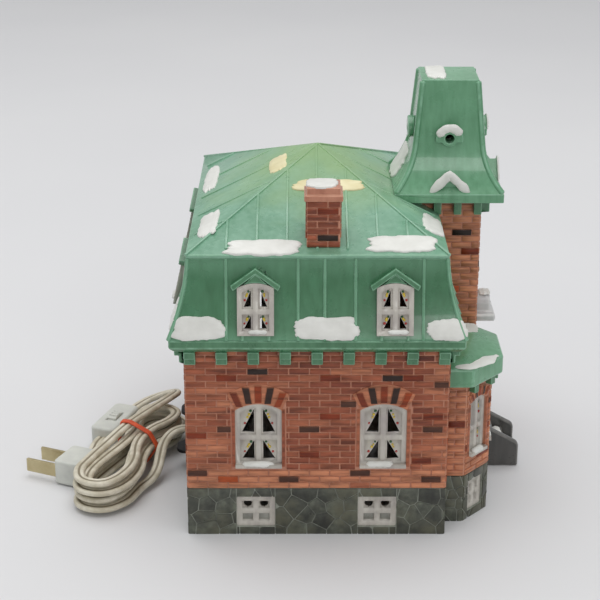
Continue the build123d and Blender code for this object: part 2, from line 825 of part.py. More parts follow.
def dormer_hood(face):
    """Gabled hood over a dormer, running back into the mansard's slope."""
    half = dormer_width / 2
    foot = hood_foot - hood_band
    with BuildPart() as unit:
        with BuildSketch(face.offset(hood_proud)):
            with BuildLine():
                Polyline(
                    (-hood_half, hood_foot),
                    (-hood_half + hood_band / 2, foot),
                    (0, hood_apex - hood_band * 1.2),
                    (hood_half - hood_band / 2, foot),
                    (hood_half, hood_foot),
                    (0, hood_apex),
                    close=True,
                )
            make_face()
        extrude(amount=-dormer_depth)
        with BuildSketch(face):
            with BuildLine():
                Polyline((-half, foot), (half, foot), (0, hood_apex - hood_band), close=True)
            make_face()
        extrude(amount=-dormer_depth)
        with BuildSketch(face.offset(hood_proud)):
            add(arched_outline(*dormer_window))
        extrude(amount=-2 * dormer_depth, mode=Mode.SUBTRACT)
        add(mansard_hull, mode=Mode.SUBTRACT)
    return unit.part


dormer_sets = (("near_dormer", near_dormers), ("far_dormer", far_dormers), ("rear_dormer", rear_dormers))
for title, faces in dormer_sets:
    for number, face in enumerate(faces, start=1):
        keep(dormer_frame(face), f"{title}_frame_{number}")
        keep(dormer_hood(face), f"{title}_hood_{number}")

# Door in the tower's front, with two sunk panels
door_panel = door_width - 2 * frame_bar
with BuildPart() as door:
    with BuildSketch(door_face.offset(-window_recess)):
        add(arched_outline(door_width, door_height, door_rise))
    extrude(amount=-frame_depth)
    with BuildSketch(door_face.offset(-window_recess)):
        with Locations((0, frame_bar)):
            add(arched_outline(door_panel, door_height - 2 * frame_bar, door_rise))
        with Locations((0, door_height * transom_share)):
            Rectangle(door_width, mullion, mode=Mode.SUBTRACT)
    extrude(amount=-(frame_depth - curtain), mode=Mode.SUBTRACT)
keep(door.part, "door")

# Hood over the door: a slab with an arched crown
door_hood_level = foundation_top + door_hood_rise
with BuildPart() as door_hood:
    with BuildSketch(front_face(0, door_hood_level, tower_face)):
        Rectangle(door_hood_width, door_hood_slab, align=(Align.CENTER, Align.MIN))
    extrude(amount=door_hood_reach)
    with BuildSketch(front_face(0, door_hood_level + door_hood_slab, tower_face)):
        add(arched_outline(door_hood_width - 2 * wall, door_hood_crown, door_hood_crown / 2))
    extrude(amount=door_hood_reach - wall / 2)
keep(door_hood.part, "door_hood")

# Front steps, against the tower
tread_width = steps_width - 2 * cheek
riser = foundation_top / step_count
going = step_run / step_count
steps_plane = Plane(origin=(tower_face, step_shift, 0), x_dir=(1, 0, 0), z_dir=(0, -1, 0))
stair_line = [(0, 0), (0, foundation_top)]
for step in range(step_count):
    stair_line.append(((step + 1) * going, foundation_top - step * riser))
    stair_line.append(((step + 1) * going, foundation_top - (step + 1) * riser))
with BuildPart() as front_steps:
    with BuildSketch(steps_plane):
        with BuildLine():
            Polyline(*stair_line, close=True)
        make_face()
    extrude(amount=tread_width / 2, both=True)
keep(front_steps.part, "front_steps")

# Cheek walls at the two sides of the steps
with BuildPart() as step_cheeks:
    for side in (-1, 1):
        with BuildSketch(steps_plane.offset(side * tread_width / 2)):
            with BuildLine():
                Polyline((0, 0), (step_run, 0), (step_run, cheek_front), (0, foundation_top + cheek_rise), close=True)
            make_face()
        extrude(amount=side * cheek)
    front_edges = step_cheeks.edges().filter_by(Axis.Y).group_by(Axis.X)[-1]
    fillet(front_edges.sort_by(Axis.Z)[-2:], radius=cheek_round)
keep(step_cheeks.part, "step_cheeks")

# Lamp socket: a stub through the wall and a cup for the bulb's screw shell
cup_mouth = -socket_length
cup_floor = cup_mouth + bulb_base_length
with BuildPart() as lamp_socket:
    with BuildSketch(lamp_face.offset(socket_out)):
        Circle(socket_stub_radius)
    extrude(amount=-(socket_out + socket_step))
    with BuildSketch(lamp_face.offset(-socket_step)):
        Circle(socket_cup_radius)
    extrude(amount=cup_mouth + socket_step)
    with BuildSketch(lamp_face.offset(cup_mouth)):
        Circle(bulb_base_radius + lamp_clearance)
    extrude(amount=bulb_base_length, mode=Mode.SUBTRACT)
keep(lamp_socket.part, "lamp_socket")

# Bulb: screw shell and candle-shaped glass
bulb_seat = cup_mouth - lamp_clearance
with BuildPart() as bulb_base:
    with BuildSketch(lamp_face.offset(cup_floor - lamp_clearance)):
        Circle(bulb_base_radius)
    extrude(amount=bulb_seat - cup_floor + lamp_clearance)
keep(bulb_base.part, "bulb_base")

bulb_plane = Plane(origin=lamp_face.from_local_coords((0, 0, bulb_seat)), x_dir=(1, 0, 0), z_dir=(0, -1, 0))
swell = (bulb_base_radius + bulb_radius) / 2 + bulb_tip
taper = bulb_belly + (bulb_length - bulb_belly) * 0.6
with BuildPart() as bulb_glass:
    with BuildSketch(bulb_plane):
        with BuildLine():
            Polyline((bulb_length, bulb_tip), (bulb_length, 0), (0, 0), (0, bulb_base_radius))
            ThreePointArc((0, bulb_base_radius), (bulb_belly * 0.4, swell), (bulb_belly, bulb_radius))
            ThreePointArc((bulb_belly, bulb_radius), (taper, bulb_radius * 0.72), (bulb_length, bulb_tip))
        make_face()
    revolve(axis=Axis(bulb_plane.origin, (1, 0, 0)))
keep(bulb_glass.part, "bulb_glass")


def spring_clip(side, ear):
    """Spring clip beside the socket: foot, strip, barb inside the wall, shoulder and ear outside."""
    inner = side * clip_radius
    outer = side * (clip_radius + clip_thickness)
    middle = (inner + outer) / 2
    with BuildPart() as clip:
        with BuildSketch(lamp_face.offset(cup_mouth)):
            with Locations((0, middle)):
                Rectangle(clip_width, clip_thickness)
        extrude(amount=ear - cup_mouth)
        tip = clip.edges().filter_by(Axis.Z).group_by(Axis.X)[0]
        fillet(tip, radius=clip_width / 2 - clip_thickness)
        with BuildSketch(lamp_face.offset(cup_mouth)):
            foot_inner = side * (socket_cup_radius + lamp_clearance)
            with Locations((0, (foot_inner + inner) / 2)):
                Rectangle(clip_barb_width, abs(inner - foot_inner))
        extrude(amount=clip_foot)
        with BuildSketch(lamp_face.offset(-wall - lamp_clearance)):
            with Locations((0, outer + side * clip_barb / 2)):
                Rectangle(clip_barb_width, clip_barb)
        extrude(amount=-clip_barb_length)
        with BuildSketch(lamp_face.offset(lamp_clearance)):
            with Locations((0, outer + side * clip_barb / 2)):
                Rectangle(clip_barb_width, clip_barb)
        extrude(amount=clip_thickness)
    return clip.part


keep(spring_clip(1, upper_ear), "clip_upper")
keep(spring_clip(-1, lower_ear), "clip_lower")

# Frame that the cord set is laid out in: local X along the hank, on the floor
hank_frame = Plane(
    origin=(hank_centre[0], hank_centre[1], 0),
    x_dir=(cos(radians(hank_heading)), sin(radians(hank_heading)), 0),
    z_dir=(0, 0, 1),
)


def hank_mark(eighth):
    """Place and heading of the hank's line after a number of eighth turns.

    The loops spiral in over one turn, climb a layer in the next half turn, and spiral out again.
    """
    turn = eighth / 8
    layer = int(turn // 1.5)
    along = turn - 1.5 * layer
    share = min(along, 1.0)
    inset = hank_step * (share if layer % 2 == 0 else 1 - share)
    height = hank_lift + hank_layer * (layer + max(0.0, along - 1.0) / 0.5)
    lower = lower_half - inset
    upper = upper_half - inset
    waist = waist_half - inset
    marks = (
        (lower_side, lower_shift - lower, (-1, 0)),
        (lower_tip + inset, lower_shift, (0, 1)),
        (lower_side, lower_shift + lower, (1, 0)),
        (waist_place, waist, (1, 0)),
        (upper_side, upper_shift + upper, (1, 0)),
        (upper_tip - inset, upper_shift, (0, -1)),
        (upper_side, upper_shift - upper, (-1, 0)),
        (waist_place, -waist, (-1, 0)),
    )
    along_hank, across_hank, (ahead, aside) = marks[eighth % 8]
    place = hank_frame.from_local_coords(Vector(along_hank, across_hank, height))
    return place, hank_frame.x_dir * ahead + hank_frame.y_dir * aside


def arc_pair(start, end):
    """Joint and heading of the two tangent arcs that lead from one mark to the next."""
    place, heading = start
    goal, goal_heading = end
    chord = goal - place
    lead = chord.dot(heading + goal_heading)
    turn = 2 * (1 - heading.dot(goal_heading))
    if turn < 1e-9:
        reach = chord.dot(chord) / (4 * chord.dot(goal_heading))
    else:
        reach = (sqrt(lead**2 + turn * chord.dot(chord)) - lead) / turn
    joint = (place + goal + (heading - goal_heading) * reach) * 0.5
    joint_heading = (goal - goal_heading * reach - place - heading * reach).normalized()
    return joint, joint_heading


def least_gap(points, spacing):
    """Smallest clear distance between stretches of the hank that aren't neighbours along it."""
    apart = int(3 * cord_diameter / spacing)
    nearest = far_out
    for index, point in enumerate(points):
        for other in points[index + apart :]:
            nearest = min(nearest, (point - other).length)
    return nearest - cord_diameter


# Hank: one unbroken tube through all its loops
marks = [hank_mark(eighth) for eighth in range(int(hank_turns * 8) + 1)]
hank_mouth = marks[0][0] - marks[0][1] * cord_diameter
hank_tip = marks[-1][0] + marks[-1][1] * cord_diameter
with BuildPart() as cord_hank:
    with BuildLine() as hank_line:
        Line(hank_mouth, marks[0][0])
        for start, end in zip(marks, marks[1:]):
            joint, joint_heading = arc_pair(start, end)
            TangentArc(start[0], joint, tangent=start[1])
            TangentArc(joint, end[0], tangent=joint_heading)
        Line(marks[-1][0], hank_tip)
    hank_path = hank_line.wire()
    with BuildSketch(Plane(origin=hank_path @ 0, z_dir=hank_path % 0)):
        Circle(cord_radius)
    sweep(path=hank_path)
keep(cord_hank.part, "cord_hank")
hank_length = hank_path.length
samples = int(hank_length)
hank_points = [hank_path @ (index / samples) for index in range(samples + 1)]
print(f"hank: {hank_length:.1f} mm long, least gap {least_gap(hank_points, hank_length / samples):.2f} mm")
hank_section = pi * cord_radius**2 * hank_length
print(f"hank: volume {cord_hank.part.volume:.1f}, section times length {hank_section:.1f}")


def cord_stretch(points, name):
    """Free stretch of cord: straight runs joined by arcs as large as the runs allow."""
    route = [hank_frame.from_local_coords(Vector(*point)) for point in points]
    radii = []
    for before, corner, after in zip(route, route[1:], route[2:]):
        turn = (corner - before).get_angle(after - corner)
        shorter = min((corner - before).length, (after - corner).length)
        radii.append(0.45 * shorter / tan(radians(turn) / 2))
    with BuildPart() as stretch:
        with BuildLine() as line:
            FilletPolyline(*route, radius=radii)
        path = line.wire()
        with BuildSketch(Plane(origin=path @ 0, z_dir=path % 0)):
            Circle(cord_radius)
        sweep(path=path)
    keep(stretch.part, name)
    section = pi * cord_radius**2 * path.length
    print(f"{name}: {path.length:.1f} mm, radii {[round(radius, 1) for radius in radii]}")
    print(f"{name}: volume {stretch.part.volume:.1f}, section times length {section:.1f}")


# Lead from the lamp down to the hank, the loop from the hank to the switch, and the tail to the plug
lamp_end = hank_frame.to_local_coords(lamp_face.from_local_coords(Vector(0, 0, socket_out)))
hank_start = hank_frame.to_local_coords(hank_mouth)
hank_end = hank_frame.to_local_coords(hank_tip)
top = hank_end.Z
cord_middle = switch_lift + switch_height / 2
lead_out = hank_frame.to_local_coords(lamp_face.from_local_coords(Vector(0, 0, socket_out + 5.5)))
lead_points = [
    tuple(lamp_end),
    tuple(lead_out),
    (10.3, -17.2, 17.9),
    (5.7, -15.4, 14.5),
    (1.1, -15.6, 9.9),
    (-3.9, -16.5, 5.9),
    (-10.5, -16.3, 3.6),
    (hank_start.X + 6.9, hank_start.Y, hank_start.Z),
    tuple(hank_start),
]
loop_points = [
    tuple(hank_end),
    (hank_end.X + 8.0, hank_end.Y, top),
    (-6.0, 7.6, top + 1.2),
    (5.0, 5.2, top + 3.6),
    (16.0, 3.0, top + 4.4),
    (27.0, 0.6, top + 4.6),
    (37.0, -1.4, top + 4.5),
    (45.0, -2.4, top + 4.1),
    (52.0, -1.9, top + 2.8),
    (57.4, 1.4, top + 0.6),
    (60.5, 7.0, 13.2),
    (60.5, 13.3, 10.2),
    (57.3, 18.9, 7.6),
    (switch_place[0] + 6.2, switch_place[1], cord_middle),
    (switch_place[0], switch_place[1], cord_middle),
]
plug_axis = (cos(radians(plug_turn)), sin(radians(plug_turn)))
tail_points = [
    (switch_place[0] - switch_length, switch_place[1], cord_middle),
    (switch_place[0] - switch_length - 6.0, switch_place[1], cord_middle),
    (plug_place[0] + 6.0 * plug_axis[0], plug_place[1] + 6.0 * plug_axis[1], cord_middle),
    (plug_place[0], plug_place[1], cord_middle),
]
cord_stretch(lead_points, "cord_lead")
cord_stretch(loop_points, "cord_loop")
cord_stretch(tail_points, "cord_tail")

# Rubber band round the waist of the hank and the loop that lies on it
band_plane = Plane(
    origin=hank_frame.from_local_coords(Vector(waist_place, 0, 0)),
    x_dir=hank_frame.y_dir,
    z_dir=hank_frame.x_dir,
)
band_low = hank_lift - cord_radius - band_clearance
band_high = top + 4.4 + cord_radius + band_clearance
band_half = waist_half + cord_radius + band_clearance
with BuildPart() as hank_band:
    with BuildSketch(band_plane.offset(-band_width / 2)):
        with Locations((0, (band_low + band_high) / 2)):
            RectangleRounded(2 * band_half, band_high - band_low, cord_radius)
            offset(amount=band_thickness)
            RectangleRounded(2 * band_half, band_high - band_low, cord_radius, mode=Mode.SUBTRACT)
    extrude(amount=band_width)
keep(hank_band.part, "hank_band")

# In-line switch with a thumb wheel across it
switch_middle = (switch_place[0] - switch_length / 2, switch_place[1])
wheel_level = switch_lift + switch_height + wheel_rise - wheel_radius
wheel_plane = Plane(
    origin=hank_frame.from_local_coords(Vector(*switch_middle, wheel_level)),
    x_dir=hank_frame.x_dir,
    z_dir=-hank_frame.y_dir,
)
with BuildPart() as switch_body:
    with BuildSketch(hank_frame.offset(switch_lift)):
        with Locations(switch_middle):
            RectangleRounded(switch_length, switch_width, switch_corner)
    extrude(amount=switch_height)
    fillet(switch_body.faces().sort_by(Axis.Z)[-1].edges(), radius=switch_corner / 2)
    with BuildSketch(wheel_plane):
        Circle(wheel_radius + wheel_clearance)
    extrude(amount=wheel_width / 2 + wheel_clearance, both=True, mode=Mode.SUBTRACT)
    with BuildSketch(wheel_plane):
        Circle(wheel_axle + wheel_clearance)
    extrude(amount=wheel_width / 2 + 2 * wheel_axle, both=True, mode=Mode.SUBTRACT)
keep(switch_body.part, "switch_body")

with BuildPart() as switch_wheel:
    with BuildSketch(wheel_plane):
        Circle(wheel_radius)
        with PolarLocations(wheel_radius, wheel_notches):
            Circle(wheel_notch, mode=Mode.SUBTRACT)
    extrude(amount=wheel_width / 2, both=True)
    with BuildSketch(wheel_plane):
        Circle(wheel_axle)
    extrude(amount=wheel_width / 2 + wheel_axle, both=True)
keep(switch_wheel.part, "switch_wheel")

# Plug: the cord enters one end, and the two blades stand out of its side
plug_frame = Plane(
    origin=hank_frame.from_local_coords(Vector(*plug_place, 0)),
    x_dir=hank_frame.x_dir.rotate(Axis.Z, plug_turn),
    z_dir=(0, 0, 1),
)
with BuildPart() as plug_body:
    with BuildSketch(plug_frame.offset(switch_lift)):
        with Locations((-plug_length / 2, 0)):
            RectangleRounded(plug_length, plug_width, plug_corner)
    extrude(amount=plug_height)
    fillet(plug_body.faces().sort_by(Axis.Z)[-1].edges(), radius=plug_corner / 2)
keep(plug_body.part, "plug_body")

blade_plane = Plane(
    origin=plug_frame.from_local_coords(Vector(-plug_length / 2, plug_width / 2, cord_middle)),
    x_dir=plug_frame.x_dir,
    z_dir=plug_frame.y_dir,
)
with BuildPart() as plug_blades:
    with BuildSketch(blade_plane):
        with GridLocations(blade_spacing, 1, 2, 1):
            Rectangle(blade_thickness, blade_width)
    extrude(amount=blade_length)
keep(plug_blades.part, "plug_blades")

print(f"overall height {tower_cap_top:.1f} mm, roof apex {apex_level:.1f} mm")
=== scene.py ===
# %% [markdown]
# # A glazed ceramic village house
#
# The object is a hollow earthenware house, glazed by hand, with a small lamp clipped into its rear wall
# and the lamp's cord tied in a hank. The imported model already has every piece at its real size. This
# lesson dresses it: the edges are softened as glaze softens them, and brickwork, stones, roof seams and
# painted snow are laid on its faces.

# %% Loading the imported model
import json
import math
import random

import bmesh
import bpy
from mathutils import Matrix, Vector, noise


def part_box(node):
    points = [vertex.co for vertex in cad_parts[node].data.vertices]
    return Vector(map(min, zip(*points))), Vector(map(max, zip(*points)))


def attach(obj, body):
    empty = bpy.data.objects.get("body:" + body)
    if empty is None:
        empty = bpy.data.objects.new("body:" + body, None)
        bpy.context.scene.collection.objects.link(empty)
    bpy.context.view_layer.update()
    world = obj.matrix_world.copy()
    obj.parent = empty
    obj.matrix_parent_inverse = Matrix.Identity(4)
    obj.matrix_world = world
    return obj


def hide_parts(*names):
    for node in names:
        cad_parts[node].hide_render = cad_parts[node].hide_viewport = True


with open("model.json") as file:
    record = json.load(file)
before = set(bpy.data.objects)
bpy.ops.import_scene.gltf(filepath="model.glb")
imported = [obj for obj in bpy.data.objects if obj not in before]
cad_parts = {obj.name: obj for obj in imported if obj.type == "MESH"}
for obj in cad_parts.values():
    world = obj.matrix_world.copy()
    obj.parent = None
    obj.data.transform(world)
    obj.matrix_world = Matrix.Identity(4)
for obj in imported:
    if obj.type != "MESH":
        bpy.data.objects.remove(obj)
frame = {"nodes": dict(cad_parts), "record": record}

MM = 0.001
UP = Vector((0, 0, 1))
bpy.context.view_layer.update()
nodes = frame["nodes"]
bodies = {}
for body, names in frame["record"]["behaviour"]["bodies"].items():
    for name in names:
        bodies[name] = body
print("nodes:", len(nodes), "bodies:", sorted(set(bodies.values())))

# %% [markdown]
# ## Camera
#
# The camera stands where the photo was taken: well back, with a long lens, and looking down on one side of
# the house. A short lens from nearby would splay the walls, and a long one keeps them nearly parallel.

# %% Camera
LENS = 96.0
SENSOR = 36.0
NEAREST_SEEN = 0.01
CAMERA_PLACE = Vector((-7.2, -690.7, 353.6)) * MM
LOOK_DOWN = 21.5


def add_object(name, data):
    """New object in the scene, at the origin."""
    piece = bpy.data.objects.new(name, data)
    bpy.context.collection.objects.link(piece)
    return piece


camera_data = bpy.data.cameras.new("photo_camera")
camera_data.lens = LENS
camera_data.sensor_width = SENSOR
camera_data.sensor_fit = "HORIZONTAL"
camera_data.clip_start = NEAREST_SEEN
camera = add_object("photo_camera", camera_data)
camera.location = CAMERA_PLACE
camera.rotation_euler = (math.radians(90 - LOOK_DOWN), 0, 0)
bpy.context.scene.camera = camera
bpy.context.scene.view_settings.view_transform = "Standard"
print("camera distance:", round(CAMERA_PLACE.length, 3), "m")

# %% [markdown]
# ## Materials from small parts
#
# A glaze is built from the same few ingredients again and again: a noise for its patchy thickness, a ramp
# that turns the noise into colours, and a mix that lays one coat over another. These could be set by hand
# in the shader editor. Short helpers keep each recipe readable instead. Colours are written as they look
# on screen, from 0 to 255, and turned into linear light. A single number is a linear grey.


# %% Helpers for node trees
def tint(value):
    """Linear colour of a screen colour written from 0 to 255, or the grey of one linear value."""
    if isinstance(value, (int, float)):
        return (value, value, value, 1.0)
    channels = []
    for part in value:
        share = part / 255
        channels.append(share / 12.92 if share <= 0.04045 else ((share + 0.055) / 1.055) ** 2.4)
    return (*channels, 1.0)


def put(tree, kind, inputs=None, **settings):
    """Add a node, with its settings and its inputs, which are values or other nodes' outputs."""
    node = tree.nodes.new(kind)
    for key, value in settings.items():
        setattr(node, key, value)
    for key, value in (inputs or {}).items():
        if isinstance(value, bpy.types.NodeSocket):
            tree.links.new(value, node.inputs[key])
        else:
            node.inputs[key].default_value = value
    return node


def ramp(tree, factor, stops):
    """Colour ramp through a list of places and colours."""
    node = put(tree, "ShaderNodeValToRGB", {"Fac": factor})
    elements = node.color_ramp.elements
    while len(elements) < len(stops):
        elements.new(1.0)
    for element, (place, colour) in zip(elements, stops):
        element.position = place
        element.color = tint(colour)
    return node.outputs["Color"]


def mix(tree, factor, under, over, blend="MIX"):
    """Lay one colour over another."""
    inputs = {0: factor}
    for index, value in ((6, under), (7, over)):
        inputs[index] = value if isinstance(value, bpy.types.NodeSocket) else tint(value)
    return put(tree, "ShaderNodeMix", inputs, data_type="RGBA", blend_type=blend).outputs[2]


print("sample of a screen colour in linear light:", [round(part, 3) for part in tint((128, 178, 146))])


# %% Values for node trees
def arithmetic(tree, operation, first, second):
    """Sum or product of two values."""
    return put(tree, "ShaderNodeMath", {0: first, 1: second}, operation=operation).outputs["Value"]


def own_place(tree):
    """Place on the piece, in the piece's own coordinates."""
    return put(tree, "ShaderNodeTexCoord").outputs["Object"]


def noise_field(tree, scale, stretch=(1, 1, 1), detail=3.0, roughness=0.55):
    """Noise over the piece, in features per metre, stretched along the axes."""
    inputs = {"Vector": own_place(tree), "Scale": stretch}
    mapped = put(tree, "ShaderNodeMapping", inputs).outputs["Vector"]
    inputs = {"Vector": mapped, "Scale": scale, "Detail": detail, "Roughness": roughness}
    return put(tree, "ShaderNodeTexNoise", inputs).outputs["Fac"]


def stored(tree, title):
    """Value that the mesh keeps for each of its faces or points."""
    return put(tree, "ShaderNodeAttribute", attribute_name=title).outputs["Fac"]


print("linear grey of 0.5:", tint(0.5))

# %% [markdown]
# A fired surface is never even. Its gloss changes from patch to patch, a faint ripple breaks up the
# reflections, and a clear coat lies over the colour. Where the glaze has run off an edge it is paler. That
# could be read from the mesh's curvature, but a value kept on the faces of each rounded edge is steadier.

# %% A fired surface
GLOSS_SCALE = 120.0
RIPPLE_STRENGTH = 0.6
COAT_ROUGHNESS = 0.06


def start_material(name):
    """New material with its node tree and its shader."""
    material = bpy.data.materials.new(name)
    material.use_nodes = True
    return material, material.node_tree, material.node_tree.nodes["Principled BSDF"]


def dress(tree, shader, colour, gloss, ripple, coat=0.0):
    """Give a shader its colour, an uneven gloss, and a ripple of a height in millimetres and a scale."""
    tree.links.new(colour, shader.inputs["Base Color"])
    patches = noise_field(tree, GLOSS_SCALE, detail=4.0)
    roughness = ramp(tree, patches, [(0.3, gloss[0]), (0.7, gloss[1])])
    tree.links.new(roughness, shader.inputs["Roughness"])
    height = noise_field(tree, ripple[1], detail=2.0)
    inputs = {"Height": height, "Distance": ripple[0] * MM, "Strength": RIPPLE_STRENGTH}
    bump = put(tree, "ShaderNodeBump", inputs)
    tree.links.new(bump.outputs["Normal"], shader.inputs["Normal"])
    shader.inputs["Coat Weight"].default_value = coat
    shader.inputs["Coat Roughness"].default_value = COAT_ROUGHNESS


print("roughness of the clear coat:", COAT_ROUGHNESS)

# %% Brushed glaze
EDGE_SCALE = 240.0
STREAK_SCALE, STREAK_STRETCH, STREAK_SHARE = 420.0, (1, 1, 0.16), 0.35
GLAZE_GLOSS, GLAZE_RIPPLE, GLAZE_COAT = (0.22, 0.42), (0.09, 260.0), 0.45


def edge_share(tree):
    """How far the glaze has run off an edge: only on the faces of a bevel, in uneven stretches."""
    uneven = ramp(tree, noise_field(tree, EDGE_SCALE), [(0.3, 0.2), (0.65, 0.9)])
    return arithmetic(tree, "MULTIPLY", stored(tree, "worn"), uneven)


def glaze(name, dark, middle, light, edge, patch=45.0, change=None):
    """Brushed glaze: patches, streaks and paler edges, changed by place where a roof needs it."""
    material, tree, shader = start_material(name)
    patches = ramp(tree, noise_field(tree, patch), [(0.32, dark), (0.52, middle), (0.72, light)])
    brushed = noise_field(tree, STREAK_SCALE, STREAK_STRETCH, 4.0)
    streaks = ramp(tree, brushed, [(0.35, dark), (0.65, light)])
    colour = mix(tree, edge_share(tree), mix(tree, STREAK_SHARE, patches, streaks), edge)
    if change:
        colour = change(tree, colour)
    dress(tree, shader, colour, GLAZE_GLOSS, GLAZE_RIPPLE, GLAZE_COAT)
    return material


print("ripple of the glaze:", GLAZE_RIPPLE[0], "mm high")

# %% [markdown]
# ## Cord
#
# The lamp's cord is a flat twin cord, two conductors side by side with a groove between them. It leaves
# the lamp, drops beside the hank, winds through its loops and comes out over the top to a switch. A
# short tail then runs to the plug. A bevelled curve could carry it, but it would roll over in the bends.
# Here smooth splines carry the line, and the figure-of-eight section is swept along them, lying flat.

# %% Loops of the hank
HANK_CENTRE = Vector((-88.0, -14.0, 0.0))
HANK_HEADING = math.radians(70.3)
HANK_AXIS = Vector((math.cos(HANK_HEADING), math.sin(HANK_HEADING), 0))
HANK_SIDE = Vector((-math.sin(HANK_HEADING), math.cos(HANK_HEADING), 0))
HANK_LIFT = 3.3
HANK_EIGHTHS = 42
HANK_STEP = 5.3
HANK_LAYER = 4.1
TURNS_IN_LAYER = 1.5
LOWER_TIP, LOWER_PLACE, LOWER_HALF, LOWER_SHIFT = -45.0, -28.0, 12.5, -2.0
WAIST_PLACE, WAIST_HALF = 9.0, 7.25
UPPER_TIP, UPPER_PLACE, UPPER_HALF, UPPER_SHIFT = 44.5, 33.0, 12.8, -0.5


def in_hank(along, across, height):
    """Place in the model's frame, in metres, of a place in the hank's frame, in millimetres."""
    return (HANK_CENTRE + HANK_AXIS * along + HANK_SIDE * across + UP * height) * MM


def hank_mark(eighth):
    """Place and heading of the hank's line after a number of eighth turns, in the hank's frame."""
    turn = eighth / 8
    layer = int(turn // TURNS_IN_LAYER)
    along = turn - TURNS_IN_LAYER * layer
    share = min(along, 1.0)
    inset = HANK_STEP * (share if layer % 2 == 0 else 1 - share)
    height = HANK_LIFT + HANK_LAYER * (layer + max(0.0, along - 1.0) / (TURNS_IN_LAYER - 1.0))
    lower, waist, upper = LOWER_HALF - inset, WAIST_HALF - inset, UPPER_HALF - inset
    marks = (
        (LOWER_PLACE, LOWER_SHIFT - lower, (-1, 0, 0)),
        (LOWER_TIP + inset, LOWER_SHIFT, (0, 1, 0)),
        (LOWER_PLACE, LOWER_SHIFT + lower, (1, 0, 0)),
        (WAIST_PLACE, waist, (1, 0, 0)),
        (UPPER_PLACE, UPPER_SHIFT + upper, (1, 0, 0)),
        (UPPER_TIP - inset, UPPER_SHIFT, (0, -1, 0)),
        (UPPER_PLACE, UPPER_SHIFT - upper, (-1, 0, 0)),
        (WAIST_PLACE, -waist, (-1, 0, 0)),
    )
    place_along, place_across, heading = marks[eighth % 8]
    return Vector((place_along, place_across, height)), Vector(heading)


print("turns of the hank:", HANK_EIGHTHS / 8)


# %% Control points of the loops
def hank_controls():
    """Control points of the loops: between two marks, one ahead of the first and one behind the second."""
    marks = [hank_mark(eighth) for eighth in range(HANK_EIGHTHS + 1)]
    points = []
    for (place, heading), (goal, goal_heading) in zip(marks, marks[1:]):
        chord = goal - place
        lead = chord.dot(heading + goal_heading)
        turn = 2 * (1 - heading.dot(goal_heading))
        if turn < 1e-6:
            reach = chord.dot(chord) / (4 * chord.dot(goal_heading))
        else:
            reach = (math.sqrt(lead * lead + turn * chord.dot(chord)) - lead) / turn
        points += [place + heading * reach, goal - goal_heading * reach]
    return points


hank_points = hank_controls()
print("control points of the loops:", len(hank_points))

# %% [markdown]
# Inside the switch the two conductors part round the thumb wheel, so the cord is swept as two stretches,
# each of which stops short of the wheel.

# %% Route from the lamp to the plug
CORD_TUBE = 3.4
CORD_MIDDLE = 6.0
CORD_GRIP = 8.0
LAMP_LEAD = 5.5
SWITCH_LENGTH = 30.0
switch_end_x, switch_end_y = 45.5, 22.0
switch_start_x = switch_end_x - SWITCH_LENGTH
plug_x, plug_y, plug_turn = -6.6, 19.5, math.radians(-4.0)
PLUG_LEAD = 6.0

hank_start = hank_mark(0)[0] + Vector((CORD_TUBE, 0, 0))
hank_end = hank_mark(HANK_EIGHTHS)[0] + Vector((CORD_TUBE, 0, 0))
hank_top = hank_end.z
lamp_low, lamp_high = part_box("lamp_socket")
lamp_exit = Vector((lamp_low[0], (lamp_low[1] + lamp_high[1]) / 2, (lamp_low[2] + lamp_high[2]) / 2))
lead_route = [
    (10.3, -17.2, 17.9),
    (5.7, -15.4, 14.5),
    (1.1, -15.6, 9.9),
    (-3.9, -16.5, 5.9),
    (-10.5, -16.3, 3.6),
    (hank_start.x + 6.9, hank_start.y, hank_start.z),
    hank_start,
]
loop_route = [
    hank_end,
    (hank_end.x + 8.0, hank_end.y, hank_top),
    (-6.0, 7.6, hank_top + 1.2),
    (5.0, 5.2, hank_top + 3.6),
    (16.0, 3.0, hank_top + 4.4),
    (27.0, 0.6, hank_top + 4.6),
    (37.0, -1.4, hank_top + 4.5),
    (45.0, -2.4, hank_top + 4.1),
    (52.0, -1.9, hank_top + 2.8),
    (57.4, 1.4, hank_top + 0.6),
    (60.5, 7.0, 13.2),
    (60.5, 13.3, 10.2),
    (57.3, 18.9, 7.6),
    (switch_end_x + 6.2, switch_end_y, CORD_MIDDLE),
    (switch_end_x, switch_end_y, CORD_MIDDLE),
    (switch_end_x - CORD_GRIP, switch_end_y, CORD_MIDDLE),
]
tail_route = [
    (switch_start_x + CORD_GRIP, switch_end_y, CORD_MIDDLE),
    (switch_start_x, switch_end_y, CORD_MIDDLE),
    (switch_start_x - PLUG_LEAD, switch_end_y, CORD_MIDDLE),
    (plug_x + PLUG_LEAD * math.cos(plug_turn), plug_y + PLUG_LEAD * math.sin(plug_turn), CORD_MIDDLE),
    (plug_x, plug_y, CORD_MIDDLE),
]
main_points = [lamp_exit, lamp_exit - Vector((LAMP_LEAD * MM, 0, 0))]
main_points += [in_hank(*point) for point in lead_route + hank_points + loop_route]
tail_points = [in_hank(*point) for point in tail_route]
print("cord control points:", len(main_points), len(tail_points))

# %% Line of the cord
SPLINE_ORDER, SPLINE_STEPS = 3, 9


